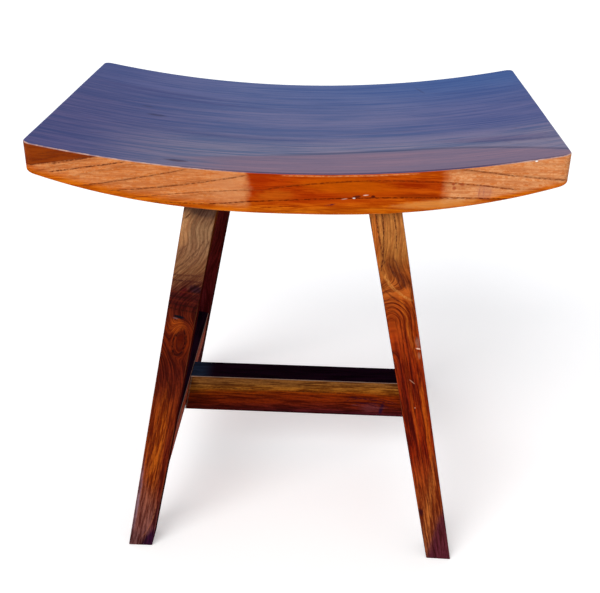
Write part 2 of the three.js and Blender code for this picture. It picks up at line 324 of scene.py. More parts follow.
@dataclass(frozen=True)
class Block:
    """A six-sided block about the origin with rounded arrises.

    Attributes:
        half: Half its size along each axis.
        easing: Radius of its level arrises.
        corner: Radius of its four upright arrises.
        cell: Rough size of its faces' cells along each axis.
        sharp: Ends that stay square because they butt against another piece, as (axis, sign).
    """

    half: Triple
    easing: float
    corner: float
    cell: Triple
    sharp: tuple[tuple[int, int], ...] = ()

    def places(self, axis: int) -> Array:
        """Places along one axis: even steps over the flat, then tangents of even angles over the round.

        Args:
            axis: The axis, 0 to 2.

        Returns:
            The places, in rising order.
        """
        flat = self.half[axis] - self.easing
        guard = min(self.easing, self.cell[axis] / 2)
        count = max(2, round(2 * (flat - guard) / self.cell[axis]))
        middle = np.linspace(-flat + guard, flat - guard, count + 1)
        outer = flat + self.easing * np.tan(np.linspace(0.0, math.pi / 4, 4))
        return np.concatenate([-outer[::-1], middle, outer])

    def lattice(self) -> tuple[Array, list[list[int]]]:
        """The block's six faces before they are rounded.

        Returns:
            Their points and their quads.
        """
        axes = [self.places(axis) for axis in range(3)]
        outside = np.zeros([len(axis) for axis in axes], dtype=bool)
        outside[[0, -1], :, :] = True
        outside[:, [0, -1], :] = True
        outside[:, :, [0, -1]] = True
        number = np.full(outside.shape, -1)
        number[outside] = np.arange(outside.sum())
        faces = []
        for axis in range(3):
            for end in (0, -1):
                sheet = np.take(number, end, axis=axis)
                corners = (sheet[:-1, :-1], sheet[1:, :-1], sheet[1:, 1:], sheet[:-1, 1:])
                quads = np.stack([corner.ravel() for corner in corners], axis=1)
                outward = (end == -1) != (axis == 1)
                faces.extend((quads if outward else quads[:, ::-1]).tolist())
        return np.stack(np.meshgrid(*axes, indexing="ij"), axis=-1)[outside], faces

    def surface(self) -> Surface:
        """The block's skin: the lattice, rounded first in plan and then over the level arrises.

        In plan a point is the nearest point of an inner rectangle, whose sides are in by the corner radius,
        plus an offset that keeps its direction and takes the larger of its two parts as its length. Over an
        arris the same is done with the distance out in plan and the height, past a core that is in by the
        easing.

        Returns:
            The surface, its wood places equal to its points.
        """
        lattice, faces = self.lattice()
        half = np.array(self.half)
        inset = np.array((self.corner, self.corner, self.easing))
        inner = np.clip(lattice, inset - half, half - inset)
        depth_in = half - np.abs(lattice)
        caps = np.zeros_like(lattice)
        for axis, sign in self.sharp:
            near = lattice[:, axis] * sign > 0
            inner[near, axis] = lattice[near, axis]
            caps[near & (depth_in[:, axis] <= 0.0), axis] = sign
            depth_in[near, axis] = FAR
        offset = lattice - inner
        plan = unit(offset[:, :2])
        out = np.abs(offset[:, :2]).max(axis=1)
        core = self.corner - self.easing
        over = np.stack([np.maximum(out - core, 0.0), offset[:, 2]], axis=1)
        turned = unit(over)
        rounded = turned * np.abs(over).max(axis=1, keepdims=True)
        reach = np.minimum(out, core) + rounded[:, 0]
        points = inner + np.column_stack([plan * reach[:, None], rounded[:, 1]])
        facing = np.column_stack([plan * turned[:, :1], turned[:, 1]])
        facing = np.where(np.abs(facing).max(axis=1, keepdims=True) > 0.0, facing, caps)
        arris = np.sort(depth_in, axis=1)[:, 1]
        return Surface(points, faces, facing, arris, points.copy())


def unit(vectors: Array) -> Array:
    """Vectors brought to length 1, with zero left as it is."""
    length = np.linalg.norm(vectors, axis=1, keepdims=True)
    return np.divide(vectors, length, out=np.zeros_like(vectors), where=length > 0.0)


def kept_ends(place: Array, half: float, band: float, low: Array, high: Array) -> Array:
    """Carries a block's place along one axis to between two new end surfaces.

    Within a band of each end the distance from that end is kept, so the rounds stay round. Between the two
    bands the places are spread evenly.

    Args:
        place: Places along the axis, from -half to half.
        half: Half the block's size along the axis.
        band: Depth of the band.
        low: The lower end surface at each point.
        high: The upper end surface at each point.

    Returns:
        The new places.
    """
    share = (place + half - band) / (2 * half - 2 * band)
    between = low + band + share * (high - low - 2 * band)
    return np.where(share < 0.0, low + place + half, np.where(share > 1.0, high + place - half, between))


def bar_between(face: Callable[[Array], Array], depth: float, middle: float, seed: int) -> Surface:
    """A rail's skin: a bar along X whose ends are carried to two leaning faces.

    Args:
        face: Distance from the bar's middle to a face, at a height.
        depth: The bar's depth.
        middle: Its mid-height.
        seed: Sets the waves left by planing.

    Returns:
        The surface.
    """
    half_length = float(face(np.array(middle)))
    half = (half_length, depth / 2, FRAME.rail_height / 2)
    block = Block(half, FRAME.easing, FRAME.easing, RAIL_CELL, ((0, 1), (0, -1)))
    skin = block.surface().hand_worked(RAIL_PLANING, seed)
    along, across, up = skin.points.T
    height = up + middle
    along = along / half_length * (face(height) - FRAME.gap)
    skin.points = np.stack([along, across, height], axis=1)
    skin.wood = skin.points.copy()
    return skin


# Shader node graphs


class Value:
    """A value, a place or a colour in a node graph. An arithmetic sign adds a Math node that works it out."""

    def __init__(self, graph: "Graph", socket: Socket) -> None:
        """Keeps the graph and the node's output."""
        self.graph = graph
        self.socket = socket

    def math(self, operation: str, *others: Feed) -> "Value":
        """A Math node's result, with this value first."""
        return self.graph.math(operation, self, *others)

    def __add__(self, other: Feed) -> "Value":
        """The sum."""
        return self.math("ADD", other)

    def __sub__(self, other: Feed) -> "Value":
        """The difference."""
        return self.math("SUBTRACT", other)

    def __rsub__(self, other: float) -> "Value":
        """A number less this value."""
        return self.graph.math("SUBTRACT", other, self)

    def __mul__(self, other: Feed) -> "Value":
        """The product."""
        return self.math("MULTIPLY", other)

    def __truediv__(self, other: Feed) -> "Value":
        """The quotient."""
        return self.math("DIVIDE", other)

    def __abs__(self) -> "Value":
        """The size without the sign."""
        return self.math("ABSOLUTE")

    def squared(self) -> "Value":
        """The value times itself."""
        return self * self

    def at_least(self, lowest: Feed) -> "Value":
        """The larger of this and another value."""
        return self.math("MAXIMUM", lowest)

    def step(self, low: Feed, high: Feed, start: float = 0.0, stop: float = 1.0) -> "Value":
        """A smooth step from start to stop as this goes from low to high, or down to it if high is less."""
        feeds = {"Value": self, "From Min": low, "From Max": high, "To Min": start, "To Max": stop}
        return self.graph.made("ShaderNodeMapRange", feeds, interpolation_type="SMOOTHSTEP")

    def between(self, first: Feed, second: Feed) -> "Value":
        """The value that lies this share of the way from the first to the second."""
        return self.graph.made("ShaderNodeMix", {0: self, 2: first, 3: second}, data_type="FLOAT")

    def blend(self, first: Feed, second: Feed) -> "Value":
        """The colour that lies this share of the way from the first to the second."""
        return self.graph.made("ShaderNodeMix", {0: self, 6: first, 7: second}, 2, data_type="RGBA")

    def towards(self, colour: Feed, share: "Value") -> "Value":
        """This colour, taken a share of the way to another."""
        return share.blend(self, colour)

    def shaded(self, amount: Feed) -> "Value":
        """This colour or vector times a number."""
        return self.graph.made("ShaderNodeVectorMath", {0: self, "Scale": amount}, operation="SCALE")

    def tinted(self, amount: "Value", tints: Tints) -> "Value":
        """This colour times a tint that goes from the first to the second with an amount."""
        return self.graph.vector("MULTIPLY", self, amount.blend(*tints))

    def moved(self, step: Triple, count: Feed) -> "Value":
        """This place, moved by a step a number of times."""
        way = self.graph.made("ShaderNodeVectorMath", {0: step, "Scale": count}, operation="SCALE")
        return self.graph.vector("ADD", self, way)

    def noise(self, scale: Triple, detail: float = 3.0, roughness: float = 0.55) -> "Value":
        """Smooth noise about 0.5 at this place.

        Args:
            scale: The noise's own scale along each direction.
            detail: How many finer noises are added to it.
            roughness: How strong those are.

        Returns:
            The noise.
        """
        place = self.graph.vector("MULTIPLY", self, scale)
        feeds = {"Vector": place, "Scale": 1.0, "Detail": detail, "Roughness": roughness}
        return self.graph.made("ShaderNodeTexNoise", feeds, noise_dimensions="3D")

    def wander(self, scale: Triple, reach: float, detail: float = 3.0) -> "Value":
        """Noise about 0 at this place, times a reach."""
        return (self.noise(scale, detail) - 0.5) * reach

    def parts(self) -> list["Value"]:
        """A place's three parts."""
        made = self.graph.node("ShaderNodeSeparateXYZ")
        self.graph.fill(made, {0: self})
        return [Value(self.graph, output) for output in made.outputs]

    def ramp(self, stops: Tones, low: float, high: float) -> "Value":
        """A colour that passes through given tones as this value goes from low to high.

        Args:
            stops: Values in rising order, each with its tone.
            low: The value at the ramp's start.
            high: The value at its end.

        Returns:
            The colour.
        """
        made = self.graph.node("ShaderNodeValToRGB")
        self.graph.fill(made, {0: (self - low) / (high - low)})
        elements = made.color_ramp.elements
        while len(elements) < len(stops):
            elements.new(0.5)
        for element, (place, tone) in zip(elements, stops):
            element.position = (place - low) / (high - low)
            element.color = (*tone, 1.0)
        return Value(self.graph, made.outputs[0])


class Graph:
    """Places and joins the nodes of one node tree."""

    def __init__(self, tree: bpy.types.NodeTree) -> None:
        """Keeps the tree that the nodes go into."""
        self.tree = tree

    def node(self, kind: str, **settings: object) -> bpy.types.Node:
        """Adds a node in the next free place of a simple layout.

        Args:
            kind: The node's type.
            settings: Properties of the node.

        Returns:
            The node.
        """
        made = self.tree.nodes.new(kind)
        count = len(self.tree.nodes)
        made.location = (220.0 * (count // 8), -200.0 * (count % 8))
        for name, value in settings.items():
            setattr(made, name, value)
        return made

    def feed(self, target: Socket, source: Feed) -> None:
        """Links a socket to a value in the graph, or gives it a fixed one.

        Args:
            target: The socket.
            source: The value, number, place or tone.
        """
        if isinstance(source, Value):
            self.tree.links.new(source.socket, target)
        elif target.type == "RGBA":
            target.default_value = (*source, 1.0)
        else:
            target.default_value = source

    def fill(self, made: bpy.types.Node, feeds: Mapping[Union[int, str], Feed]) -> None:
        """Feeds a node's inputs, each by its name or number."""
        for label, source in feeds.items():
            self.feed(made.inputs[label], source)

    def made(self, kind: str, feeds: Mapping[Union[int, str], Feed], leave: Union[int, str] = 0,
             **settings: object) -> Value:
        """Adds a node and feeds its inputs.

        Args:
            kind: The node's type.
            feeds: What its inputs take, by their names or numbers.
            leave: The output that is wanted.
            settings: Properties of the node.

        Returns:
            The output.
        """
        made = self.node(kind, **settings)
        self.fill(made, feeds)
        return Value(self, made.outputs[leave])

    def math(self, operation: str, *values: Feed) -> Value:
        """A Math node's result."""
        return self.made("ShaderNodeMath", dict(enumerate(values)), operation=operation)

    def vector(self, operation: str, *values: Feed) -> Value:
        """A Vector Math node's result."""
        return self.made("ShaderNodeVectorMath", dict(enumerate(values)), operation=operation)

    def joined(self, *parts: Feed) -> Value:
        """A place from its three parts."""
        return self.made("ShaderNodeCombineXYZ", dict(enumerate(parts)))

    def attribute(self, name: str, output: str = "Vector") -> Value:
        """One of the piece's own attributes."""
        return self.made("ShaderNodeAttribute", {}, output, attribute_name=name)


# Effects that the finishes share


def new_effect(name: str, work: Callable[..., dict[str, Value]], **inputs: Feed) -> bpy.types.NodeTree:
    """Makes a node group.

    Args:
        name: The effect's name.
        work: Works out its outputs by name, each a value that changes over the surface.
        inputs: Its inputs with the values that they start with. A tuple makes a vector.

    Returns:
        The group.
    """
    tree = bpy.data.node_groups.new(name, "ShaderNodeTree")
    for label, value in inputs.items():
        kind = "NodeSocketVector" if isinstance(value, tuple) else "NodeSocketFloat"
        tree.interface.new_socket(name=label, in_out="INPUT", socket_type=kind).default_value = value
    graph = Graph(tree)
    entry = graph.node("NodeGroupInput").outputs
    results = work(**{label: Value(graph, entry[label]) for label in inputs})
    for label in results:
        tree.interface.new_socket(name=label, in_out="OUTPUT", socket_type="NodeSocketFloat")
    graph.fill(graph.node("NodeGroupOutput"), results)
    return tree


def fibre_work(wood: Value, seed: Value) -> dict[str, Value]:
    """Broad bands, streaks, fine fibres and short open pores, all drawn out along the grain, and specks.

    Args:
        wood: Place in the wood.
        seed: Moves the noises.

    Returns:
        The six masks.
    """
    place = wood.moved((900.0, 370.0, 510.0), seed)
    return {
        "band": place.noise((0.006, 0.045, 0.045), 2.0).step(0.36, 0.64),
        "streak": place.noise((0.011, 0.17, 0.17), 4.0).step(0.34, 0.66),
        "grain": place.noise((0.028, 0.40, 0.40), 3.0, 0.6).step(0.36, 0.64),
        "fine": place.noise((0.05, 0.9, 0.9), 3.0, 0.65).step(0.34, 0.66),
        "speck": place.noise((0.33, 0.55, 0.55), 3.0, 0.65).step(0.38, 0.62),
        "pore": place.noise((0.13, 1.3, 1.3), 1.0).step(0.66, 0.76),
    }


def rings_work(distance: Value, wood: Value, spacing: Value, width: Value, wander: Value,
               seed: Value) -> dict[str, Value]:
    """Growth rings: a thin dark line at each whole multiple of the spacing, and a tone that deepens up to it.

    Args:
        distance: Distance across the rings.
        wood: Place in the wood, whose pores break the lines.
        spacing: Distance between two lines.
        width: A line's width as a share of the spacing.
        wander: How far the rings wander.
        seed: Sets which rings are strong.

    Returns:
        The masks of the lines and of the zones between them.
    """
    place = wood.moved((410.0, 130.0, 770.0), seed)
    phase = (distance + place.wander((0.012, 0.045, 0.045), 4.0) * wander) / spacing + 0.5
    part = phase.math("FRACT")
    ring = phase.math("FLOOR") + seed
    chance = ring.graph.made("ShaderNodeTexWhiteNoise", {"W": ring}, "Value", noise_dimensions="1D")
    core = (abs(part - 0.5) * 2.0 / width).step(0.35, 1.2, 1.0, 0.0)
    broken = place.noise((0.22, 0.5, 0.5), 2.0).step(0.36, 0.56, 0.35, 1.0)
    return {
        "line": core * broken * (chance * 0.65 + 0.35),
        "zone": part.step(0.0, 0.5) * part.step(0.5, 0.62, 1.0, 0.0),
    }


def swirl_work(place_across: Value, place_along: Value, across: Value, along: Value, width: Value,
               length: Value, oval: Value, floor: Value) -> dict[str, Value]:
    """A soft hill about a knot, and the distance from it, so that the rings can turn round it.

    Args:
        place_across: Place across the face.
        place_along: Place along it.
        across: The knot's place across.
        along: Its place along.
        width: The hill's reach across.
        length: Its reach along.
        oval: How much the distance along counts.
        floor: Places lower than this count as at it, which makes an arch.

    Returns:
        The hill and the distance away.
    """
    aside = place_across - across
    ahead = place_along - along
    hill = ((aside / width).squared() + (ahead / length).squared()) * -1.0
    away = aside.squared() + (ahead.at_least(floor) * oval).squared()
    return {"hill": hill.math("EXPONENT"), "away": away.math("SQRT").at_least(3.0)}


def patch_work(place_across: Value, place_along: Value, wood: Value, across: Value, along: Value,
               width: Value, length: Value, turn: Value, edge: Value, ragged: Value) -> dict[str, Value]:
    """An oval patch with a soft, ragged edge, turned about its centre.

    Args:
        place_across: Place across the face.
        place_along: Place along it.
        wood: Place in the wood, which makes the edge ragged.
        across: The centre's place across.
        along: Its place along.
        width: The oval's half width.
        length: Its half length.
        turn: Its turn in degrees.
        edge: Softness of its edge.
        ragged: Raggedness of its edge.

    Returns:
        The patch's mask.
    """
    aside = place_across - across
    ahead = place_along - along
    angle = turn.math("RADIANS")
    cosine, sine = angle.math("COSINE"), angle.math("SINE")
    first = ((aside * cosine - ahead * sine) / width).squared()
    second = ((aside * sine + ahead * cosine) / length).squared()
    reach = (first + second).math("SQRT") + wood.wander((0.12, 0.45, 0.45), 2.0) * ragged
    return {"mask": reach.step(1.0 - edge, edge + 1.0, 1.0, 0.0)}


def vein_work(place_across: Value, place_along: Value, wood: Value, start: Value, begin: Value,
              finish: Value, slope: Value, bow: Value, width: Value, wobble: Value) -> dict[str, Value]:
    """One thin line whose place across is a start, a slope and a bow over the distance along it.

    Args:
        place_across: Place across the line.
        place_along: Place along it.
        wood: Place in the wood, which makes the line wobble and breaks it.
        start: Its place across where it begins.
        begin: Where it begins.
        finish: Where it ends.
        slope: How it slopes.
        bow: How it bows.
        width: Its width.
        wobble: How far it wobbles.

    Returns:
        The line's mask.
    """
    run = place_along - begin
    middle = start + run * slope + run.squared() * bow + wood.wander((0.05, 0.2, 0.2), 2.0, 2.0) * wobble
    line = (abs(place_across - middle) / width).step(0.3, 1.1, 1.0, 0.0)
    ends = run.step(-2.0, 4.0) * (finish - place_along).step(-2.0, 4.0)
    return {"mask": line * ends * wood.noise((0.32, 0.6, 0.6), 2.0).step(0.38, 0.58, 0.3, 1.0)}


def worn_work(arris: Value, reach: Value, wood: Value, seed: Value) -> dict[str, Value]:
    """Wear along the arrises, patchy as handling leaves it.

    Args:
        arris: Distance from the nearest arris.
        reach: How far the wear goes.
        wood: Place in the wood.
        seed: Sets where the patches are.

    Returns:
        The wear's mask.
    """
    patchy = wood.moved((210.0, 640.0, 330.0), seed).noise((0.025, 0.05, 0.05)).step(0.42, 0.62)
    return {"mask": arris.step(0.0, reach, 1.0, 0.0) * patchy}


class Effects:
    """The node groups that the finishes share, each built once."""

    def __init__(self) -> None:
        """Builds every group."""
        wood = {"wood": (0.0, 0.0, 0.0)}
        grown = {**wood, "seed": 0.0}
        place = {"place_across": 0.0, "place_along": 0.0}
        oval = {**place, "across": 0.0, "along": 0.0, "width": 10.0, "length": 20.0}
        self.fibre = new_effect("wood_fibre", fibre_work, **grown)
        self.rings = new_effect("growth_rings", rings_work, distance=0.0, spacing=10.0, width=0.1, wander=1.0,
                                **grown)
        self.swirl = new_effect("ring_swirl", swirl_work, oval=0.5, floor=-FAR, **oval)
        self.patch = new_effect("soft_patch", patch_work, turn=0.0, edge=0.4, ragged=0.5, **oval, **wood)
        self.vein = new_effect("growth_vein", vein_work, start=0.0, begin=0.0, finish=10.0, slope=0.0,
                               bow=0.0, width=1.0, wobble=1.0, **place, **wood)
        self.worn = new_effect("worn_arris", worn_work, arris=0.0, reach=1.5, **grown)


# What a finish is told about one place on a face


@dataclass(frozen=True)
class Patch:
    """A soft-edged oval of another tone, at a place across and along the face."""

    effect: ClassVar[str] = "patch"
    crosswise: ClassVar[bool] = False
    across: float
    along: float
    width: float
    length: float
    tone: Tone
    strength: float = 1.0
    turn: float = 0.0
    edge: float = 0.45
    ragged: float = 0.6


@dataclass(frozen=True)
class Vein:
    """A thin line along the face: its place across is start + slope t + bow t squared, t from its beginning.
    A crosswise one runs across the face, and its places across and along change roles."""

    effect: ClassVar[str] = "vein"
    start: float
    begin: float
    finish: float
    slope: float
    bow: float
    tone: Tone
    width: float = 0.9
    strength: float = 0.9
    wobble: float = 0.8
    crosswise: bool = False


@dataclass(frozen=True)
class Swirl:
    """Where the rings bend: the hill's centre across and along, its reach and its height. An oval above 0
    makes them turn round the centre, longer along the grain the smaller it is. A floor of 0 makes an arch."""

    across: float
    along: float
    width: float
    length: float
    height: float = 0.0
    oval: float = 0.0
    floor: float = -FAR


Marks = tuple[Union[Patch, Vein], ...]


# Finishes


def new_material(name: str) -> tuple[bpy.types.Material, Graph, bpy.types.Node]:
    """Starts a material with one Principled shader.

    Args:
        name: The material's name.

    Returns:
        The material, its graph and its shader.
    """
    material = bpy.data.materials.new(name)
    material.use_nodes = True
    material.node_tree.nodes.clear()
    graph = Graph(material.node_tree)
    shader = graph.node("ShaderNodeBsdfPrincipled")
    graph.fill(graph.node("ShaderNodeOutputMaterial"), {"Surface": Value(graph, shader.outputs[0])})
    return material, graph, shader


@dataclass(frozen=True)
class Varnish:
    """How the wood takes the light: the body's sheen, its relief and the coat over it."""

    coat_roughness: float = 0.2
    coat_index: float = 1.5
    roughness: float = 0.5
    relief: float = 0.35
    relief_depth: float = 0.0004

    def apply(self, job: "Dressing", colour: Value, coat: Feed) -> None:
        """Joins the colour, the relief and the gloss to the shader.

        Args:
            job: The material that is being dressed.
            colour: Its finished colour.
            coat: Strength of the coat over the surface.
        """
        fibre = job.fibre
        height = fibre.fine * 0.35 + fibre.streak * 0.25 + fibre.pore * -0.9 + job.rings.line * -0.6
        relief = {"Strength": self.relief, "Distance": self.relief_depth, "Height": height}
        job.graph.fill(job.shader, {
            "Base Color": colour,
            "Roughness": fibre.fine * 0.16 + job.worn * 0.15 + (self.roughness - 0.08),
            "Specular IOR Level": 0.0,
            "Coat Weight": coat,
            "Coat Roughness": self.coat_roughness,
            "Coat IOR": self.coat_index,
            "Normal": job.graph.made("ShaderNodeBump", relief),
        })


@dataclass(frozen=True, kw_only=True)
class Finish:
    """What every finish has. Each kind adds its tones and says how it paints them."""

    name: str
    seed: float
    ring_spacing: float
    ring_width: float
    ring_line: Tone
    figure: Triple = (0.22, 0.40, 0.38)
    worn: Tone
    worn_reach: float
    varnish: Varnish = Varnish()

    def dress(self, effects: Effects) -> bpy.types.Material:
        """Builds the material.

        Args:
            effects: The shared effects.

        Returns:
            The material.
        """
        job = Dressing(self, effects)
        colour, wear, coat = self.paint(job)
        self.varnish.apply(job, colour.towards(self.worn, wear), coat)
        return job.material

    def paint(self, job: "Dressing") -> tuple[Value, Value, Feed]:
        """Works out the finish.

        Args:
            job: The material that is being dressed.

        Returns:
            The unworn colour, the share of wear over it and the strength of the coat.
        """
        raise NotImplementedError


class Dressing:
    """One material in the making: its shader, the piece's attributes and the effects laid in it."""

    def __init__(self, finish: Finish, effects: Effects) -> None:
        """Starts the material and reads the piece's attributes.

        Args:
            finish: What the material is to look like.
            effects: The shared effects.
        """
        self.finish = finish
        self.effects = effects
        self.material, self.graph, self.shader = new_material(finish.name)
        self.wood = self.graph.attribute("wood")
        self.along, self.across, self.through = self.wood.parts()
        _, self.faces_across, self.faces_through = self.graph.attribute("facing").parts()
        self.arris = self.graph.attribute("arris", "Fac")
        self.worn = self.lay(effects.worn, arris=self.arris, reach=finish.worn_reach).mask
        self.fibre = SimpleNamespace()
        self.rings = SimpleNamespace()

    def lay(self, group: bpy.types.NodeTree, **values: Feed) -> SimpleNamespace:
        """Places a shared effect.

        Args:
            group: The effect.
            values: What its inputs take by their names, the finish's own wood and seed if they are left out.

        Returns:
            Its outputs by their names.
        """
        made = self.graph.node("ShaderNodeGroup", node_tree=group)
        values = {"wood": self.wood, "seed": self.finish.seed, **values}
        self.graph.fill(made, {target.name: values[target.name] for target in made.inputs})
        return SimpleNamespace(**{output.name: Value(self.graph, output) for output in made.outputs})

    def grow(self, distance: Value, wander: Feed, flow: Optional[Value] = None) -> None:
        """Lays the fibre and the growth rings, which the rest of the finish reads.

        Args:
            distance: Distance across the rings.
            wander: How far the rings wander.
            flow: The place that the fibre follows, the place in the wood if it is left out.
        """
        finish = self.finish
        self.fibre = self.lay(self.effects.fibre, wood=flow or self.wood)
        self.rings = self.lay(self.effects.rings, distance=distance, spacing=finish.ring_spacing,
                              width=finish.ring_width, wander=wander)

    def figure(self) -> Value:
        """The fibre's streaks, grain and fine lines as one amount, by the finish's shares of the three."""
        streak, grain, fine = self.finish.figure
        amount = self.fibre.streak * streak + self.fibre.grain * grain + self.fibre.fine * fine
        return amount.step(0.2, 0.8)

    def marked(self, colour: Value, marks: Marks, across: Value, along: Value,
               face: Value) -> Value:
        """Lays patches and veins over a colour.

        Args:
            colour: The colour so far.
            marks: The patches and veins, the last on top.
            across: Place across the face.
            along: Place along the face.
            face: Mask of the face that carries the marks.

        Returns:
            The colour with the marks.
        """
        for mark in marks:
            first, second = (along, across) if mark.crosswise else (across, along)
            group = getattr(self.effects, mark.effect)
            mask = self.lay(group, place_across=first, place_along=second, **vars(mark)).mask
            colour = colour.towards(mark.tone, mask * face * mark.strength)
        return colour


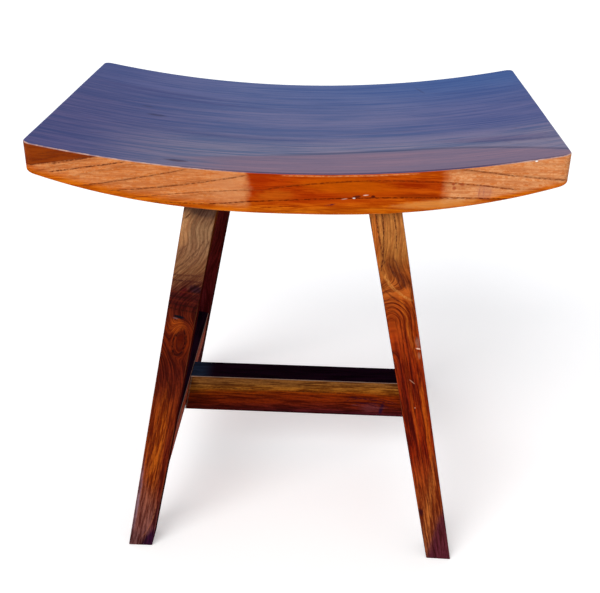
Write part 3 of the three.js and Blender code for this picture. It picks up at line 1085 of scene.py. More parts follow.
@dataclass(frozen=True, kw_only=True)
class SeatFinish(Finish):
    """The board: orange edges with a painted pale reflection at both ends of the front, and a top whose dusky
    violet and pinkish front band are partly the wood's tone, partly a painted blue sky reflection.
    """

    name: str = "seat_varnished"
    seed: float = 1.0
    ring_spacing: float = 12.5
    ring_width: float = 0.13
    ring_line: Tone = (0.13, 0.022, 0.004)
    ring_bow: float = 0.0004
    ring_peak: float = 115.0
    ring_cup: float = 0.0025
    cup_peak: float = 30.0
    long_ring: float = 408.5
    band_bow: float = 0.0007
    band_peak: float = 100.0
    band_edge: float = -101.0
    band_turn: float = 118.0
    turn_bow: float = 0.0020
    lower_bow: float = 0.00059
    lowest: float = 387.5
    wedge_slope: float = 0.1516
    wedge_start: float = 464.4
    figure: Triple = (0.26, 0.36, 0.38)
    deep: Tone = (0.36, 0.030, 0.001)
    glowing: Tone = (0.47, 0.070, 0.002)
    golden: Tone = (0.53, 0.105, 0.003)
    # Painted reflection: the pale tones laid over both ends of the front edge.
    reflection_left: Tone = (0.61, 0.215, 0.068)
    reflection_right: Tone = (0.67, 0.275, 0.104)
    speckled: Tone = (0.54, 0.115, 0.010)
    wedge: Tone = (0.225, 0.032, 0.001)
    edge_tints: Tints = ((0.74, 0.55, 0.40), (1.20, 1.40, 1.6))
    # The top's tones, down to the band and the dusk, are partly the wood's dark tone and partly a painted
    # blue sky reflection.
    top_left: Tone = (0.060, 0.064, 0.200)
    top_middle: Tone = (0.092, 0.108, 0.250)
    top_right: Tone = (0.068, 0.084, 0.236)
    # Painted sky reflection: the bluer tone towards the back of the top.
    top_back_sky_reflection: Tone = (0.012, 0.068, 0.252)
    # Painted highlight: the paler tone towards the front left of the top.
    top_front_highlight: Tone = (0.180, 0.174, 0.268)
    top_tints: Tints = ((0.53, 0.74, 0.90), (1.48, 1.25, 1.10))
    band: Tone = (0.200, 0.134, 0.205)
    dusk: Tone = (0.045, 0.030, 0.085)
    pale_arris: Tone = (0.56, 0.35, 0.29)
    # Painted reflection: the cool tone of the back arris.
    cool_arris_reflection: Tone = (0.10, 0.24, 0.42)
    worn: Tone = (0.66, 0.34, 0.16)
    worn_reach: float = 1.6
    varnish: Varnish = Varnish(coat_roughness=0.22, relief=0.3)
    front_marks: Marks = (
        Patch(52.0, 416.0, 44.0, 8.0, (0.52, 0.098, 0.001), 0.55, 4.0),
        Patch(-30.0, 420.0, 9.0, 9.0, (0.33, 0.022, 0.001), 0.6),
        Patch(-14.0, 405.0, 16.0, 5.0, (0.54, 0.12, 0.006), 0.5),
        Patch(-58.0, 412.0, 17.0, 14.0, (0.62, 0.25, 0.10), 0.45),
        Patch(40.0, 404.5, 56.0, 5.0, (0.36, 0.030, 0.001), 0.55, -4.0),
        Patch(110.0, 408.9, 17.0, 1.5, (0.22, 0.022, 0.001), 0.7, -2.0),
        Patch(130.0, 401.5, 34.0, 3.6, (0.62, 0.25, 0.06), 0.6, -5.0),
        Patch(170.8, 413.5, 7.0, 6.0, (0.46, 0.17, 0.10), 0.45),
        Vein(428.2, -240.0, -174.0, 0.1516, 0.0, (0.12, 0.018, 0.003), 1.1, 0.75, 0.6, True),
        Vein(429.7, -219.0, -177.0, 0.2084, 0.0, (0.12, 0.016, 0.002), 1.1, 0.75, 0.5, True),
        Vein(432.0, -237.0, -195.0, 0.2140, 0.0, (0.13, 0.018, 0.002), 0.9, 0.65, 0.5, True),
        Vein(439.0, -229.0, -206.0, 0.1740, 0.0, (0.13, 0.018, 0.002), 0.9, 0.6, 0.5, True),
        Vein(422.6, -220.0, -150.0, 0.1637, -0.00007, (0.11, 0.017, 0.004), 1.0, 0.95, 0.5, True),
        Vein(410.4, -192.0, -96.0, 0.1463, 0.000373, (0.15, 0.03, 0.007), 0.85, 0.8, 0.5, True),
        Vein(406.0, -167.0, -41.0, 0.0772, 0.000512, (0.14, 0.028, 0.006), 0.85, 0.85, 0.5, True),
        Vein(399.3, -150.0, -24.0, 0.1428, -0.000416, (0.16, 0.03, 0.007), 0.8, 0.65, 0.5, True),
        Vein(396.3, -127.0, -75.0, -0.0141, 0.0, (0.15, 0.02, 0.002), 0.9, 0.85, 0.5, True),
        Vein(411.1, -24.0, 198.0, 0.1756, -0.00068, (0.15, 0.018, 0.002), 0.95, 0.85, 0.6, True),
        Vein(395.4, -79.0, 194.0, 0.0944, -0.00018, (0.10, 0.009, 0.001), 0.95, 0.9, 0.5, True),
        Vein(392.8, -33.0, 7.0, 0.0907, 0.0, (0.20, 0.012, 0.001), 0.8, 0.75, 0.3, True),
        Vein(397.1, 30.0, 40.0, 0.19, 0.0, (0.06, 0.008, 0.02), 0.9, 0.85, 0.2, True),
        Vein(435.1, 145.0, 241.0, -0.1274, 0.000397, (0.15, 0.032, 0.008), 0.9, 0.85, 0.5, True),
        # Painted highlight: a pale line along the front just under the upper arris.
        Vein(424.5, -10.0, 112.0, -0.0082, 0.00041, (0.76, 0.32, 0.12), 0.8, 0.55, 0.3, True),
        Vein(165.5, 408.5, 420.0, 0.05, 0.0, (0.36, 0.11, 0.07), 0.9, 0.6, 0.6),
        Vein(170.0, 408.0, 419.0, -0.04, 0.0, (0.36, 0.11, 0.07), 0.9, 0.6, 0.6),
        Vein(175.5, 409.0, 418.0, 0.03, 0.0, (0.38, 0.13, 0.08), 0.9, 0.5, 0.6),
        Patch(142.5, 420.6, 1.4, 1.2, (0.30, 0.05, 0.015), 0.9),
        Patch(150.0, 420.2, 2.2, 1.2, (0.30, 0.05, 0.015), 0.8),
        Patch(143.5, 416.8, 1.5, 1.5, (0.34, 0.06, 0.02), 0.8),
        Patch(47.0, 403.9, 2.6, 0.5, (0.55, 0.30, 0.20), 0.7, -8.0),
        Patch(58.0, 406.4, 3.6, 1.2, (0.10, 0.012, 0.004), 0.95, -10.0, 0.4, 0.4),
        Patch(55.5, 404.9, 1.2, 0.6, (0.80, 0.66, 0.60), 0.95, 0.0, 0.4, 0.3),
        Patch(72.5, 406.8, 1.8, 1.3, (0.08, 0.008, 0.003), 0.95, 0.0, 0.4, 0.4),
        Patch(66.0, 408.0, 2.4, 0.5, (0.76, 0.50, 0.36), 0.9, -6.0, 0.4, 0.3),
        Patch(212.0, 443.6, 1.2, 0.8, (0.92, 0.86, 0.80), 1.0, 0.0, 0.4, 0.2),
    )
    top_marks: Marks = (
        Patch(-150.0, 92.0, 76.0, 5.0, (0.085, 0.095, 0.26), 0.55, 4.0, 0.9),
        Patch(-160.0, 74.0, 80.0, 4.5, (0.022, 0.028, 0.15), 0.55, 3.0, 0.9),
        Patch(-130.0, 56.0, 90.0, 4.5, (0.026, 0.034, 0.16), 0.5, 5.0, 0.9),
        Patch(-60.0, -60.0, 90.0, 5.0, (0.030, 0.040, 0.16), 0.4, 2.0, 0.9),
        Patch(195.0, -88.0, 46.0, 5.0, (0.12, 0.075, 0.18), 0.5, 10.0, 0.9),
        Patch(205.0, -98.0, 42.0, 3.5, (0.032, 0.028, 0.13), 0.6, 12.0, 0.9),
        Patch(132.5, 116.0, 1.4, 16.0, (0.020, 0.030, 0.11), 0.4, -16.0),
        Patch(-148.0, -14.0, 9.0, 2.6, (0.020, 0.018, 0.07), 0.7),
        Patch(-107.0, -144.0, 9.0, 2.6, (0.03, 0.018, 0.06), 0.75),
        Patch(-163.0, 12.0, 6.0, 2.4, (0.03, 0.025, 0.09), 0.5),
    )

    def paint(self, job: Dressing) -> tuple[Value, Value, Feed]:
        """Works out the finish.

        Args:
            job: The material that is being dressed.

        Returns:
            The unworn colour, the share of wear over it and the strength of the coat.
        """
        x, y, z = job.along, job.across, job.through
        up, forward = job.faces_through, job.faces_across * -1.0
        top, front = up.step(0.35, 0.75), forward.step(0.5, 0.9)
        flat = abs(up).step(0.45, 0.8)
        # The rings' cup over the depth counts from 0 at the front edge.
        at_front = (self.cup_peak + SEAT.depth / 2) ** 2 * self.ring_cup
        cup = (y - self.cup_peak).squared() * self.ring_cup - at_front
        on_edges = z + (x - self.ring_peak).squared() * self.ring_bow + cup - self.long_ring
        turn = (x - self.band_turn).at_least(0.0).squared() * self.turn_bow
        on_top = y + (x - self.band_peak).squared() * self.band_bow + turn - self.band_edge
        job.grow(flat.between(on_edges, on_top), flat.between(0.8, 5.0))
        above = z - x.squared() * self.lower_bow - self.lowest
        # Painted reflection on the edges: a pale tone stands in for the varnish's gloss at both ends.
        reflection_mask = self._painted_reflection(job, above)
        edges = job.marked(self._edge_colour(job, above, reflection_mask, front), self.front_marks, x, z, front)
        upper = job.marked(self._top_colour(job, on_top), self.top_marks, x, y, top)
        colour = self._arris_colour(job, edges.towards(upper, top), forward)
        return colour, job.worn * up.step(0.2, -0.3) * 0.6, top.between(reflection_mask.between(0.0, 0.08), 0.16)

    def _painted_reflection(self, job: Dressing, above: Value) -> Value:
        """Where a pale reflection is painted on the edges: both ends, but not along the lower arris.

        Args:
            job: The material that is being dressed.
            above: Height over the lower arris.

        Returns:
            The mask.
        """
        ragged = job.wood.wander((0.06, 0.1, 0.1), 14.0)
        shifted = job.along + ragged
        ends = shifted.step(-45.0, -36.0, 1.0, 0.0) + shifted.step(130.0, 142.0)
        return ends * (above + ragged * 0.2).step(1.5, job.along.step(60.0, 130.0, 11.0, 6.0))

    def _edge_colour(self, job: Dressing, above: Value, reflection_mask: Value, front: Value) -> Value:
        """Colour of the board's edges and underside.

        Args:
            job: The material that is being dressed.
            above: Height over the lower arris.
            reflection_mask: Where the pale reflection is painted.
            front: Mask of the front edge, whose growth lines are marks of their own.

        Returns:
            The colour.
        """
        x, fibre, rings = job.along, job.fibre, job.rings
        clear = fibre.band.blend(self.deep, self.glowing).towards(self.golden, above.step(12.0, 4.0))
        # Painted reflection: a pale tone over the clear orange at both ends of the front.
        reflection_tone = x.step(-60.0, 120.0).blend(self.reflection_left, self.reflection_right)
        reflection_tone = reflection_tone.towards(self.speckled, fibre.speck * fibre.grain.between(0.25, 0.75))
        colour = clear.towards(reflection_tone, reflection_mask)
        over_wedge = job.through - x * self.wedge_slope - self.wedge_start
        colour = colour.towards(self.wedge, over_wedge.step(-0.4, 1.0) * x.step(-164.0, -172.0))
        colour = colour.tinted((reflection_mask * 0.4).between(job.figure(), 0.5), self.edge_tints)
        colour = colour.shaded(1.0 - rings.zone * front.between(0.2, 0.08))
        colour = colour.towards(self.ring_line, rings.line * front.between(0.8, 0.22))
        return colour.towards(self.ring_line, fibre.pore * 0.45)

    def _top_colour(self, job: Dressing, on_top: Value) -> Value:
        """Colour of the board's top: partly the wood's tone, with a painted sky reflection and highlight.

        Args:
            job: The material that is being dressed.
            on_top: Ring distance on the top, 0 at the front band's edge.

        Returns:
            The colour.
        """
        x, y, wood = job.along, job.across, job.wood
        colour = x.step(-230.0, -30.0).blend(self.top_left, self.top_middle)
        colour = colour.towards(self.top_right, x.step(60.0, 200.0))
        # Painted highlight: a paler patch towards the front left of the top.
        painted_highlight = y.step(-30.0, -110.0) * x.step(-220.0, -60.0)
        colour = colour.towards(self.top_front_highlight, painted_highlight * 0.8)
        # Painted sky reflection: bluer towards the back of the top.
        back = y.step(0.0, 150.0) * x.step(-150.0, 200.0, 0.25, 1.0)
        colour = colour.towards(self.top_back_sky_reflection, back * 0.85)
        beyond = on_top * -1.0
        banded = beyond.step(-2.0, 3.0) * x.step(-150.0, -40.0)
        colour = colour.towards(self.band, banded * 0.9)
        edge = beyond.step(-8.0, -2.0) * beyond.step(1.5, -1.5)
        colour = colour.towards(self.dusk, edge * x.step(-60.0, 40.0) * 0.55)
        streak = wood.noise((0.0045, 0.12, 0.025), 3.0, 0.65)
        mottle = wood.noise((0.016, 0.34, 0.06), 3.0, 0.65)
        cloud = wood.noise((0.005, 0.020, 0.020))
        amount = streak * 0.38 + mottle * 0.40 + cloud * 0.22
        amount = banded.between(amount.step(0.39, 0.61), amount.step(0.2, 0.8))
        colour = colour.tinted(amount, self.top_tints).towards(self.dusk, job.rings.line * 0.25)
        return colour.towards(self.dusk, job.fibre.pore * 0.2)

    def _arris_colour(self, job: Dressing, colour: Value, forward: Value) -> Value:
        """Colour of the upper arris: pale and worn at both ends of the front, a dusky line between them, and
        a painted cool reflection along the back arris.

        Args:
            job: The material that is being dressed.
            colour: The colour so far.
            forward: How far the surface faces the front.

        Returns:
            The colour with the arris.
        """
        x, y, up = job.along, job.across, job.faces_through
        line = y.step(-156.4, -158.4) * up.step(0.5, 0.8)
        colour = colour.towards(self.dusk, line * x.step(-120.0, -90.0) * 0.75)
        turned = up.step(0.25, 0.5) * up.step(0.985, 0.9) * forward.step(0.1, 0.4)
        worn = job.graph.joined(x, 0.0, 0.0).noise((0.11, 1.0, 1.0)).step(0.42, 0.58, 0.45, 1.0)
        ends = x.step(-20.0, -110.0, 0.0, 0.9) + x.step(165.0, 205.0, 0.0, 0.8)
        colour = colour.towards(self.pale_arris, turned * ends * worn)
        # Painted reflection: a cool line along the back arris.
        back = y.step(157.0, 159.0) * up.step(0.2, 0.5)
        return colour.towards(self.cool_arris_reflection, back * 0.7)


@dataclass(frozen=True, kw_only=True)
class LegFinish(Finish):
    """One leg: tones along its front and its inner side, plainer tones elsewhere, rings and marks."""

    inward: float
    front_tones: Tones
    inner_tones: Tones
    plain_tones: Tones
    zones: Marks = ()
    marks: Marks = ()
    swirls: tuple[Swirl, ...] = ()
    span: tuple[float, float] = (0.0, 400.0)
    calm: float = 340.0
    tints: Tints = ((0.46, 0.26, 0.24), (1.45, 1.62, 1.7))
    ring_spacing: float = 3.6
    ring_width: float = 0.34
    ring_depth: float = 0.45
    ring_strength: float = 0.45
    ring_line: Tone = (0.050, 0.006, 0.003)
    worn: Tone = (0.30, 0.11, 0.04)
    worn_reach: float = 1.3
    coat: float = 0.05

    def paint(self, job: Dressing) -> tuple[Value, Value, Feed]:
        """Works out the finish.

        Args:
            job: The material that is being dressed.

        Returns:
            The unworn colour, the share of wear over it and the strength of the coat.
        """
        along, across = job.along, job.across
        front = (job.faces_through * -1.0).step(0.5, 0.85)
        inner = (job.faces_across * self.inward).step(0.35, 0.75)
        distance = self._ring_distance(job)
        job.grow(distance, 2.6, job.graph.joined(along, distance, job.through))
        fibre, rings = job.fibre, job.rings
        height = along + job.wood.wander((0.02, 0.07, 0.07), 36.0)
        colour = height.ramp(self.plain_tones, *self.span)
        colour = colour.towards(along.ramp(self.inner_tones, *self.span), inner)
        colour = colour.towards(height.ramp(self.front_tones, *self.span), front)
        colour = job.marked(colour, self.zones, across, along, front)
        contrast = along.step(self.calm - 30.0, self.calm, 1.0, 0.42)
        colour = colour.tinted(contrast.between(0.5, job.figure()), self.tints)
        colour = colour.shaded(1.05 - rings.zone * 0.22)
        colour = colour.towards(self.ring_line, rings.line * contrast * self.ring_strength)
        colour = job.marked(colour, self.marks, across, along, front)
        colour = colour.shaded(fibre.speck * 0.2 + 0.9).towards(self.ring_line, fibre.pore * 0.35)
        return colour, job.worn * 0.25, front * self.coat

    def _ring_distance(self, job: Dressing) -> Value:
        """Distance across the growth rings, bent or turned round each swirl.

        Args:
            job: The material that is being dressed.

        Returns:
            The distance.
        """
        depth = job.through * self.ring_depth
        distance = job.across + depth
        for swirl in self.swirls:
            place = {"place_across": job.across, "place_along": job.along}
            knot = job.lay(job.effects.swirl, **place, **vars(swirl))
            if swirl.oval > 0.0:
                turned = knot.away + swirl.across + depth
                distance = knot.hill.step(0.2, 0.65).between(distance, turned)
            else:
                distance = distance + knot.hill * swirl.height
        return distance


PLAIN_TONES = (
    (0.0, (0.07, 0.014, 0.016)), (40.0, (0.15, 0.035, 0.014)), (90.0, (0.22, 0.036, 0.005)),
    (160.0, (0.17, 0.018, 0.002)), (230.0, (0.14, 0.012, 0.002)), (300.0, (0.22, 0.032, 0.004)),
    (360.0, (0.27, 0.07, 0.016)), (395.0, (0.22, 0.07, 0.02)),
)
# Painted shade: the dark tones of the faces under the seat, the front legs' inner sides and the rear legs'
# fronts and inner sides.
SHADED_TONES = (
    (0.0, (0.030, 0.008, 0.014)), (80.0, (0.040, 0.004, 0.006)), (200.0, (0.042, 0.003, 0.003)),
    (320.0, (0.045, 0.003, 0.002)), (375.0, (0.09, 0.016, 0.003)), (395.0, (0.15, 0.04, 0.006)),
)

LEFT_FRONT = LegFinish(
    name="leg_left_front_varnished",
    seed=3.0,
    inward=1.0,
    # Towards the top the front tones turn pale tan, painted light over the wood's tone, and the last stop
    # under the seat is darker, painted shade.
    front_tones=(
        (0.0, (0.10, 0.034, 0.032)), (20.0, (0.115, 0.036, 0.032)), (45.0, (0.14, 0.040, 0.026)),
        (65.0, (0.165, 0.036, 0.014)), (85.0, (0.178, 0.028, 0.005)), (110.0, (0.205, 0.030, 0.003)),
        (165.0, (0.190, 0.026, 0.002)), (190.0, (0.11, 0.012, 0.002)), (215.0, (0.074, 0.006, 0.002)),
        (240.0, (0.088, 0.008, 0.001)), (258.0, (0.107, 0.010, 0.001)), (272.0, (0.12, 0.013, 0.002)),
        (285.0, (0.070, 0.007, 0.002)), (296.0, (0.042, 0.003, 0.002)), (309.0, (0.045, 0.005, 0.004)),
        (318.0, (0.10, 0.028, 0.013)), (332.0, (0.19, 0.078, 0.030)), (350.0, (0.225, 0.102, 0.046)),
        (365.0, (0.241, 0.120, 0.055)), (380.0, (0.23, 0.115, 0.052)), (392.0, (0.14, 0.062, 0.030)),
    ),
    inner_tones=SHADED_TONES,
    plain_tones=PLAIN_TONES,
    swirls=(
        Swirl(0.0, 288.0, 60.0, 42.0, 44.0),
        Swirl(-4.0, 376.0, 30.0, 16.0, 7.0),
        Swirl(3.6, 255.0, 12.0, 22.0, oval=0.40),
    ),
    zones=(
        Patch(-11.0, 371.0, 5.0, 17.0, (0.44, 0.20, 0.075), 0.65),
        # Painted shade under the seat at the top of the leg.
        Patch(4.0, 392.0, 13.0, 5.0, (0.07, 0.034, 0.022), 0.8),
        Patch(9.0, 314.0, 6.0, 4.5, (0.014, 0.003, 0.008), 0.85),
        Patch(-2.0, 308.0, 3.5, 5.0, (0.05, 0.002, 0.003), 0.7),
        Patch(-2.0, 271.0, 7.5, 7.0, (0.26, 0.040, 0.003), 0.8),
        Patch(4.0, 254.0, 5.0, 10.0, (0.16, 0.016, 0.001), 0.7),
        Patch(-1.0, 128.0, 4.2, 52.0, (0.31, 0.060, 0.003), 0.75, 0.0, 0.8),
        Patch(3.0, 112.0, 2.2, 44.0, (0.30, 0.060, 0.004), 0.4, 0.0, 0.8),
        Patch(10.5, 110.0, 3.6, 62.0, (0.085, 0.005, 0.002), 0.8),
        Patch(-4.0, 45.0, 9.0, 30.0, (0.19, 0.055, 0.036), 0.5),
        Patch(-12.0, 58.0, 2.6, 46.0, (0.13, 0.09, 0.12), 0.55),
        Patch(12.0, 32.0, 4.2, 34.0, (0.060, 0.008, 0.014), 0.7, 4.0),
        Patch(12.0, 4.0, 10.2, 27.0, (0.018, 0.002, 0.014), 0.97, 20.0, 0.22, 0.2),
    ),
    marks=(
        Patch(-10.5, 385.0, 0.8, 4.0, (0.06, 0.015, 0.008), 0.8, 35.0),
        Vein(-13.0, 331.0, 366.0, 0.95, -0.0090, (0.08, 0.026, 0.014), 1.3, 0.75),
        Vein(-14.0, 324.0, 352.0, 0.95, -0.0090, (0.09, 0.030, 0.016), 1.1, 0.65),
        Vein(-4.0, 331.0, 366.0, 0.78, -0.0080, (0.09, 0.032, 0.018), 1.1, 0.65),
        Vein(-15.0, 346.0, 358.0, 0.80, 0.0, (0.09, 0.032, 0.018), 1.0, 0.6),
        Vein(324.0, -16.0, 16.0, 0.16, 0.0, (0.07, 0.018, 0.010), 1.4, 0.75, 1.6, True),
        Vein(318.5, -16.0, 16.0, 0.12, 0.0, (0.04, 0.007, 0.006), 1.4, 0.75, 1.6, True),
        Vein(307.0, -16.0, 16.0, 0.08, 0.0, (0.10, 0.012, 0.004), 1.2, 0.6, 1.6, True),
        Vein(302.0, -16.0, 16.0, 0.05, 0.0, (0.014, 0.002, 0.001), 1.2, 0.8, 1.6, True),
        Vein(298.0, -16.0, 16.0, 0.04, 0.0, (0.10, 0.012, 0.004), 1.2, 0.6, 1.6, True),
        Vein(294.0, -16.0, 16.0, 0.03, 0.0, (0.014, 0.002, 0.001), 1.2, 0.8, 1.6, True),
        Vein(289.0, -16.0, 16.0, 0.02, 0.0, (0.014, 0.002, 0.001), 1.2, 0.7, 1.6, True),
        Vein(-0.8, 240.0, 271.0, -0.42, 0.0182, (0.012, 0.001, 0.001), 1.4, 1.0, 1.7),
        Vein(4.0, 240.0, 271.0, 0.62, -0.0204, (0.012, 0.001, 0.001), 1.3, 0.9, 1.7),
        Vein(240.0, -1.5, 4.5, 0.0, 0.0, (0.008, 0.001, 0.001), 1.2, 0.8, 0.4, True),
        Vein(8.0, 190.0, 234.0, -0.55, 0.002, (0.022, 0.002, 0.001), 1.1, 0.55, 2.4),
        Vein(13.0, 206.0, 244.0, -0.60, 0.002, (0.022, 0.002, 0.001), 1.1, 0.5, 2.4),
        Patch(-2.0, 281.6, 5.2, 1.5, (0.003, 0.003, 0.006), 1.0, 3.0, 0.3, 0.3),
        Patch(-5.0, 279.4, 2.6, 0.6, (0.14, 0.07, 0.07), 0.8, 3.0, 0.3, 0.3),
        Vein(0.5, 11.0, 58.0, 0.42, -0.0050, (0.28, 0.085, 0.04), 0.9, 0.6, 0.4),
    ),
)

RIGHT_FRONT = LegFinish(
    name="leg_right_front_varnished",
    seed=7.0,
    inward=-1.0,
    front_tones=(
        # Towards the top the front tones turn pale tan, painted light over the wood's tone.
        (0.0, (0.10, 0.024, 0.020)), (20.0, (0.16, 0.036, 0.016)), (40.0, (0.19, 0.040, 0.013)),
        (65.0, (0.22, 0.040, 0.007)), (90.0, (0.226, 0.034, 0.004)), (140.0, (0.168, 0.010, 0.001)),
        (185.0, (0.175, 0.014, 0.001)), (225.0, (0.174, 0.013, 0.001)), (260.0, (0.22, 0.022, 0.002)),
        (300.0, (0.25, 0.036, 0.003)), (318.0, (0.30, 0.058, 0.007)), (335.0, (0.31, 0.074, 0.011)),
        (350.0, (0.35, 0.115, 0.021)), (370.0, (0.44, 0.158, 0.033)), (395.0, (0.45, 0.160, 0.033)),
    ),
    inner_tones=SHADED_TONES,
    plain_tones=PLAIN_TONES,
    swirls=(Swirl(-4.0, 346.0, 30.0, 22.0, 8.0), Swirl(-10.0, 285.0, 27.0, 40.0, oval=0.8, floor=0.0)),
    zones=(
        Patch(-12.5, 372.0, 3.6, 30.0, (0.46, 0.10, 0.010), 0.7, 4.0),
        Patch(0.0, 343.0, 5.5, 10.0, (0.18, 0.042, 0.008), 0.7, -25.0),
        Patch(6.0, 329.0, 4.2, 18.0, (0.145, 0.028, 0.006), 0.8, -36.0),
        Patch(-7.4, 200.0, 2.6, 62.0, (0.085, 0.004, 0.001), 0.8, -2.0),
        Patch(2.0, 225.0, 1.4, 34.0, (0.085, 0.005, 0.001), 0.65),
        Patch(8.5, 170.0, 2.4, 52.0, (0.34, 0.058, 0.003), 0.6),
        Patch(-2.0, 190.0, 1.6, 60.0, (0.30, 0.044, 0.003), 0.5, -1.0),
        Patch(5.0, 280.0, 2.6, 34.0, (0.38, 0.078, 0.006), 0.55, -6.0),
        Patch(-1.0, 66.0, 4.4, 58.0, (0.33, 0.085, 0.014), 0.7, 12.0, 0.8),
        Patch(15.0, 18.0, 20.0, 78.0, (0.058, 0.007, 0.014), 0.92, 19.0, 0.18, 0.2),
    ),
    marks=(
        Vein(4.5, 318.0, 346.0, -0.30, 0.0, (0.05, 0.010, 0.008), 1.1, 0.7),
        Vein(9.0, 316.0, 352.0, -0.22, 0.0, (0.06, 0.012, 0.008), 1.0, 0.65),
        Vein(12.0, 305.0, 337.0, -1.32, 0.0205, (0.56, 0.20, 0.040), 2.4, 0.85, 0.6),
        Vein(6.0, 301.0, 329.0, -1.32, 0.0205, (0.10, 0.014, 0.003), 1.4, 0.7, 0.6),
        Vein(-14.9, 340.0, 349.0, 0.94, 0.0, (0.08, 0.015, 0.006), 1.1, 0.85, 0.3),
        Vein(-8.3, 348.0, 397.0, -0.06, 0.0010, (0.08, 0.015, 0.006), 1.1, 0.9, 0.5),
        Vein(-12.9, 338.0, 397.0, 0.33, -0.0029, (0.08, 0.015, 0.006), 1.1, 0.9, 0.5),
        Vein(3.6, 355.0, 397.0, 0.25, -0.0040, (0.09, 0.02, 0.008), 1.0, 0.85, 0.5),
        Vein(-15.5, 372.0, 397.0, 0.05, 0.0, (0.08, 0.012, 0.004), 1.4, 0.8),
        Patch(12.0, 260.5, 2.2, 5.0, (0.28, 0.12, 0.08), 0.6),
        Patch(11.6, 253.6, 2.4, 0.8, (0.75, 0.48, 0.36), 0.9, 20.0, 0.4, 0.3),
        Patch(11.4, 246.0, 1.2, 3.6, (0.34, 0.14, 0.08), 0.6),
        Patch(0.7, 218.5, 0.5, 3.6, (0.46, 0.22, 0.14), 0.65, -40.0, 0.4, 0.3),
        Patch(-0.2, 188.6, 0.5, 0.7, (0.60, 0.30, 0.20), 0.8, 0.0, 0.4, 0.2),
        Patch(-10.5, 62.0, 2.2, 5.0, (0.030, 0.003, 0.005), 0.85),
    ),
)

# The rear legs take the shaded tones on their fronts and inner sides: painted shade from the seat.
REAR_LEFT = LegFinish(name="leg_left_rear_varnished", seed=11.0, inward=1.0, front_tones=SHADED_TONES,
                      inner_tones=SHADED_TONES, plain_tones=PLAIN_TONES,
                      swirls=(Swirl(4.0, 180.0, 18.0, 40.0, 7.0),))
REAR_RIGHT = replace(REAR_LEFT, name="leg_right_rear_varnished", seed=17.0, inward=-1.0,
                     swirls=(Swirl(-5.0, 250.0, 20.0, 46.0, -8.0),))


@dataclass(frozen=True, kw_only=True)
class RailFinish(Finish):
    """A rail: golden above a dark ring line, dark red below it, painted nearly black on top as shade under
    the seat with painted sky light at one end of it, and a painted highlight along its upper arris.
    """

    ring_spacing: float = 4.4
    ring_width: float = 0.3
    ring_bow: float = 0.00019
    ring_peak: float = 70.0
    ring_line: Tone = (0.035, 0.005, 0.003)
    span: tuple[float, float] = (70.0, 120.0)
    front_tones: Tones = (
        (70.0, (0.034, 0.004, 0.010)), (78.0, (0.066, 0.006, 0.005)), (88.0, (0.115, 0.010, 0.001)),
        (97.0, (0.150, 0.016, 0.001)), (101.0, (0.170, 0.024, 0.001)), (103.5, (0.20, 0.045, 0.003)),
        (106.0, (0.25, 0.080, 0.008)), (110.0, (0.24, 0.084, 0.012)), (114.0, (0.17, 0.060, 0.012)),
        (120.0, (0.14, 0.050, 0.012)),
    )
    # Painted shade: the top is nearly black, shaded by the seat.
    top: Tone = (0.005, 0.0012, 0.004)
    # Painted sky light at one end of the top.
    skylight_top_end: Tone = (0.007, 0.011, 0.022)
    tints: Tints = ((0.48, 0.36, 0.28), (1.50, 1.60, 1.55))
    # The worn tone is also the painted highlight along the upper arris.
    worn: Tone = (0.26, 0.20, 0.17)
    worn_reach: float = 1.0
    coat: float = 0.03
    marks: Marks = ()

    def paint(self, job: Dressing) -> tuple[Value, Value, Feed]:
        """Works out the finish.

        Args:
            job: The material that is being dressed.

        Returns:
            The unworn colour, the share of wear over it and the strength of the coat.
        """
        along, across, height = job.along, job.across, job.through
        top = job.faces_through.step(0.75, 0.95)
        front = abs(job.faces_across).step(0.5, 0.85)
        level = height + (along - self.ring_peak).squared() * self.ring_bow
        job.grow(level + across * 0.3, 1.6)
        fibre = job.fibre
        colour = (level + job.wood.wander((0.02, 0.14, 0.14), 9.0, 4.0)).ramp(self.front_tones, *self.span)
        colour = colour.tinted(job.figure(), self.tints)
        colour = colour.towards(self.ring_line, job.rings.line * 0.4)
        colour = job.marked(colour, self.marks, along, height, front).shaded(fibre.speck * 0.24 + 0.88)
        # The top: painted shade, with painted sky light at one end.
        dark = along.step(-98.0, -116.0).blend(self.top, self.skylight_top_end).shaded(fibre.grain + 0.6)
        # Painted highlight: a pale line along the upper arris, in the worn tone.
        upper = height.step(112.0, 117.0) * job.arris.step(1.0, 0.2) * 0.6
        return colour.towards(dark, top), job.worn * 0.2 + upper, (1.0 - top) * self.coat


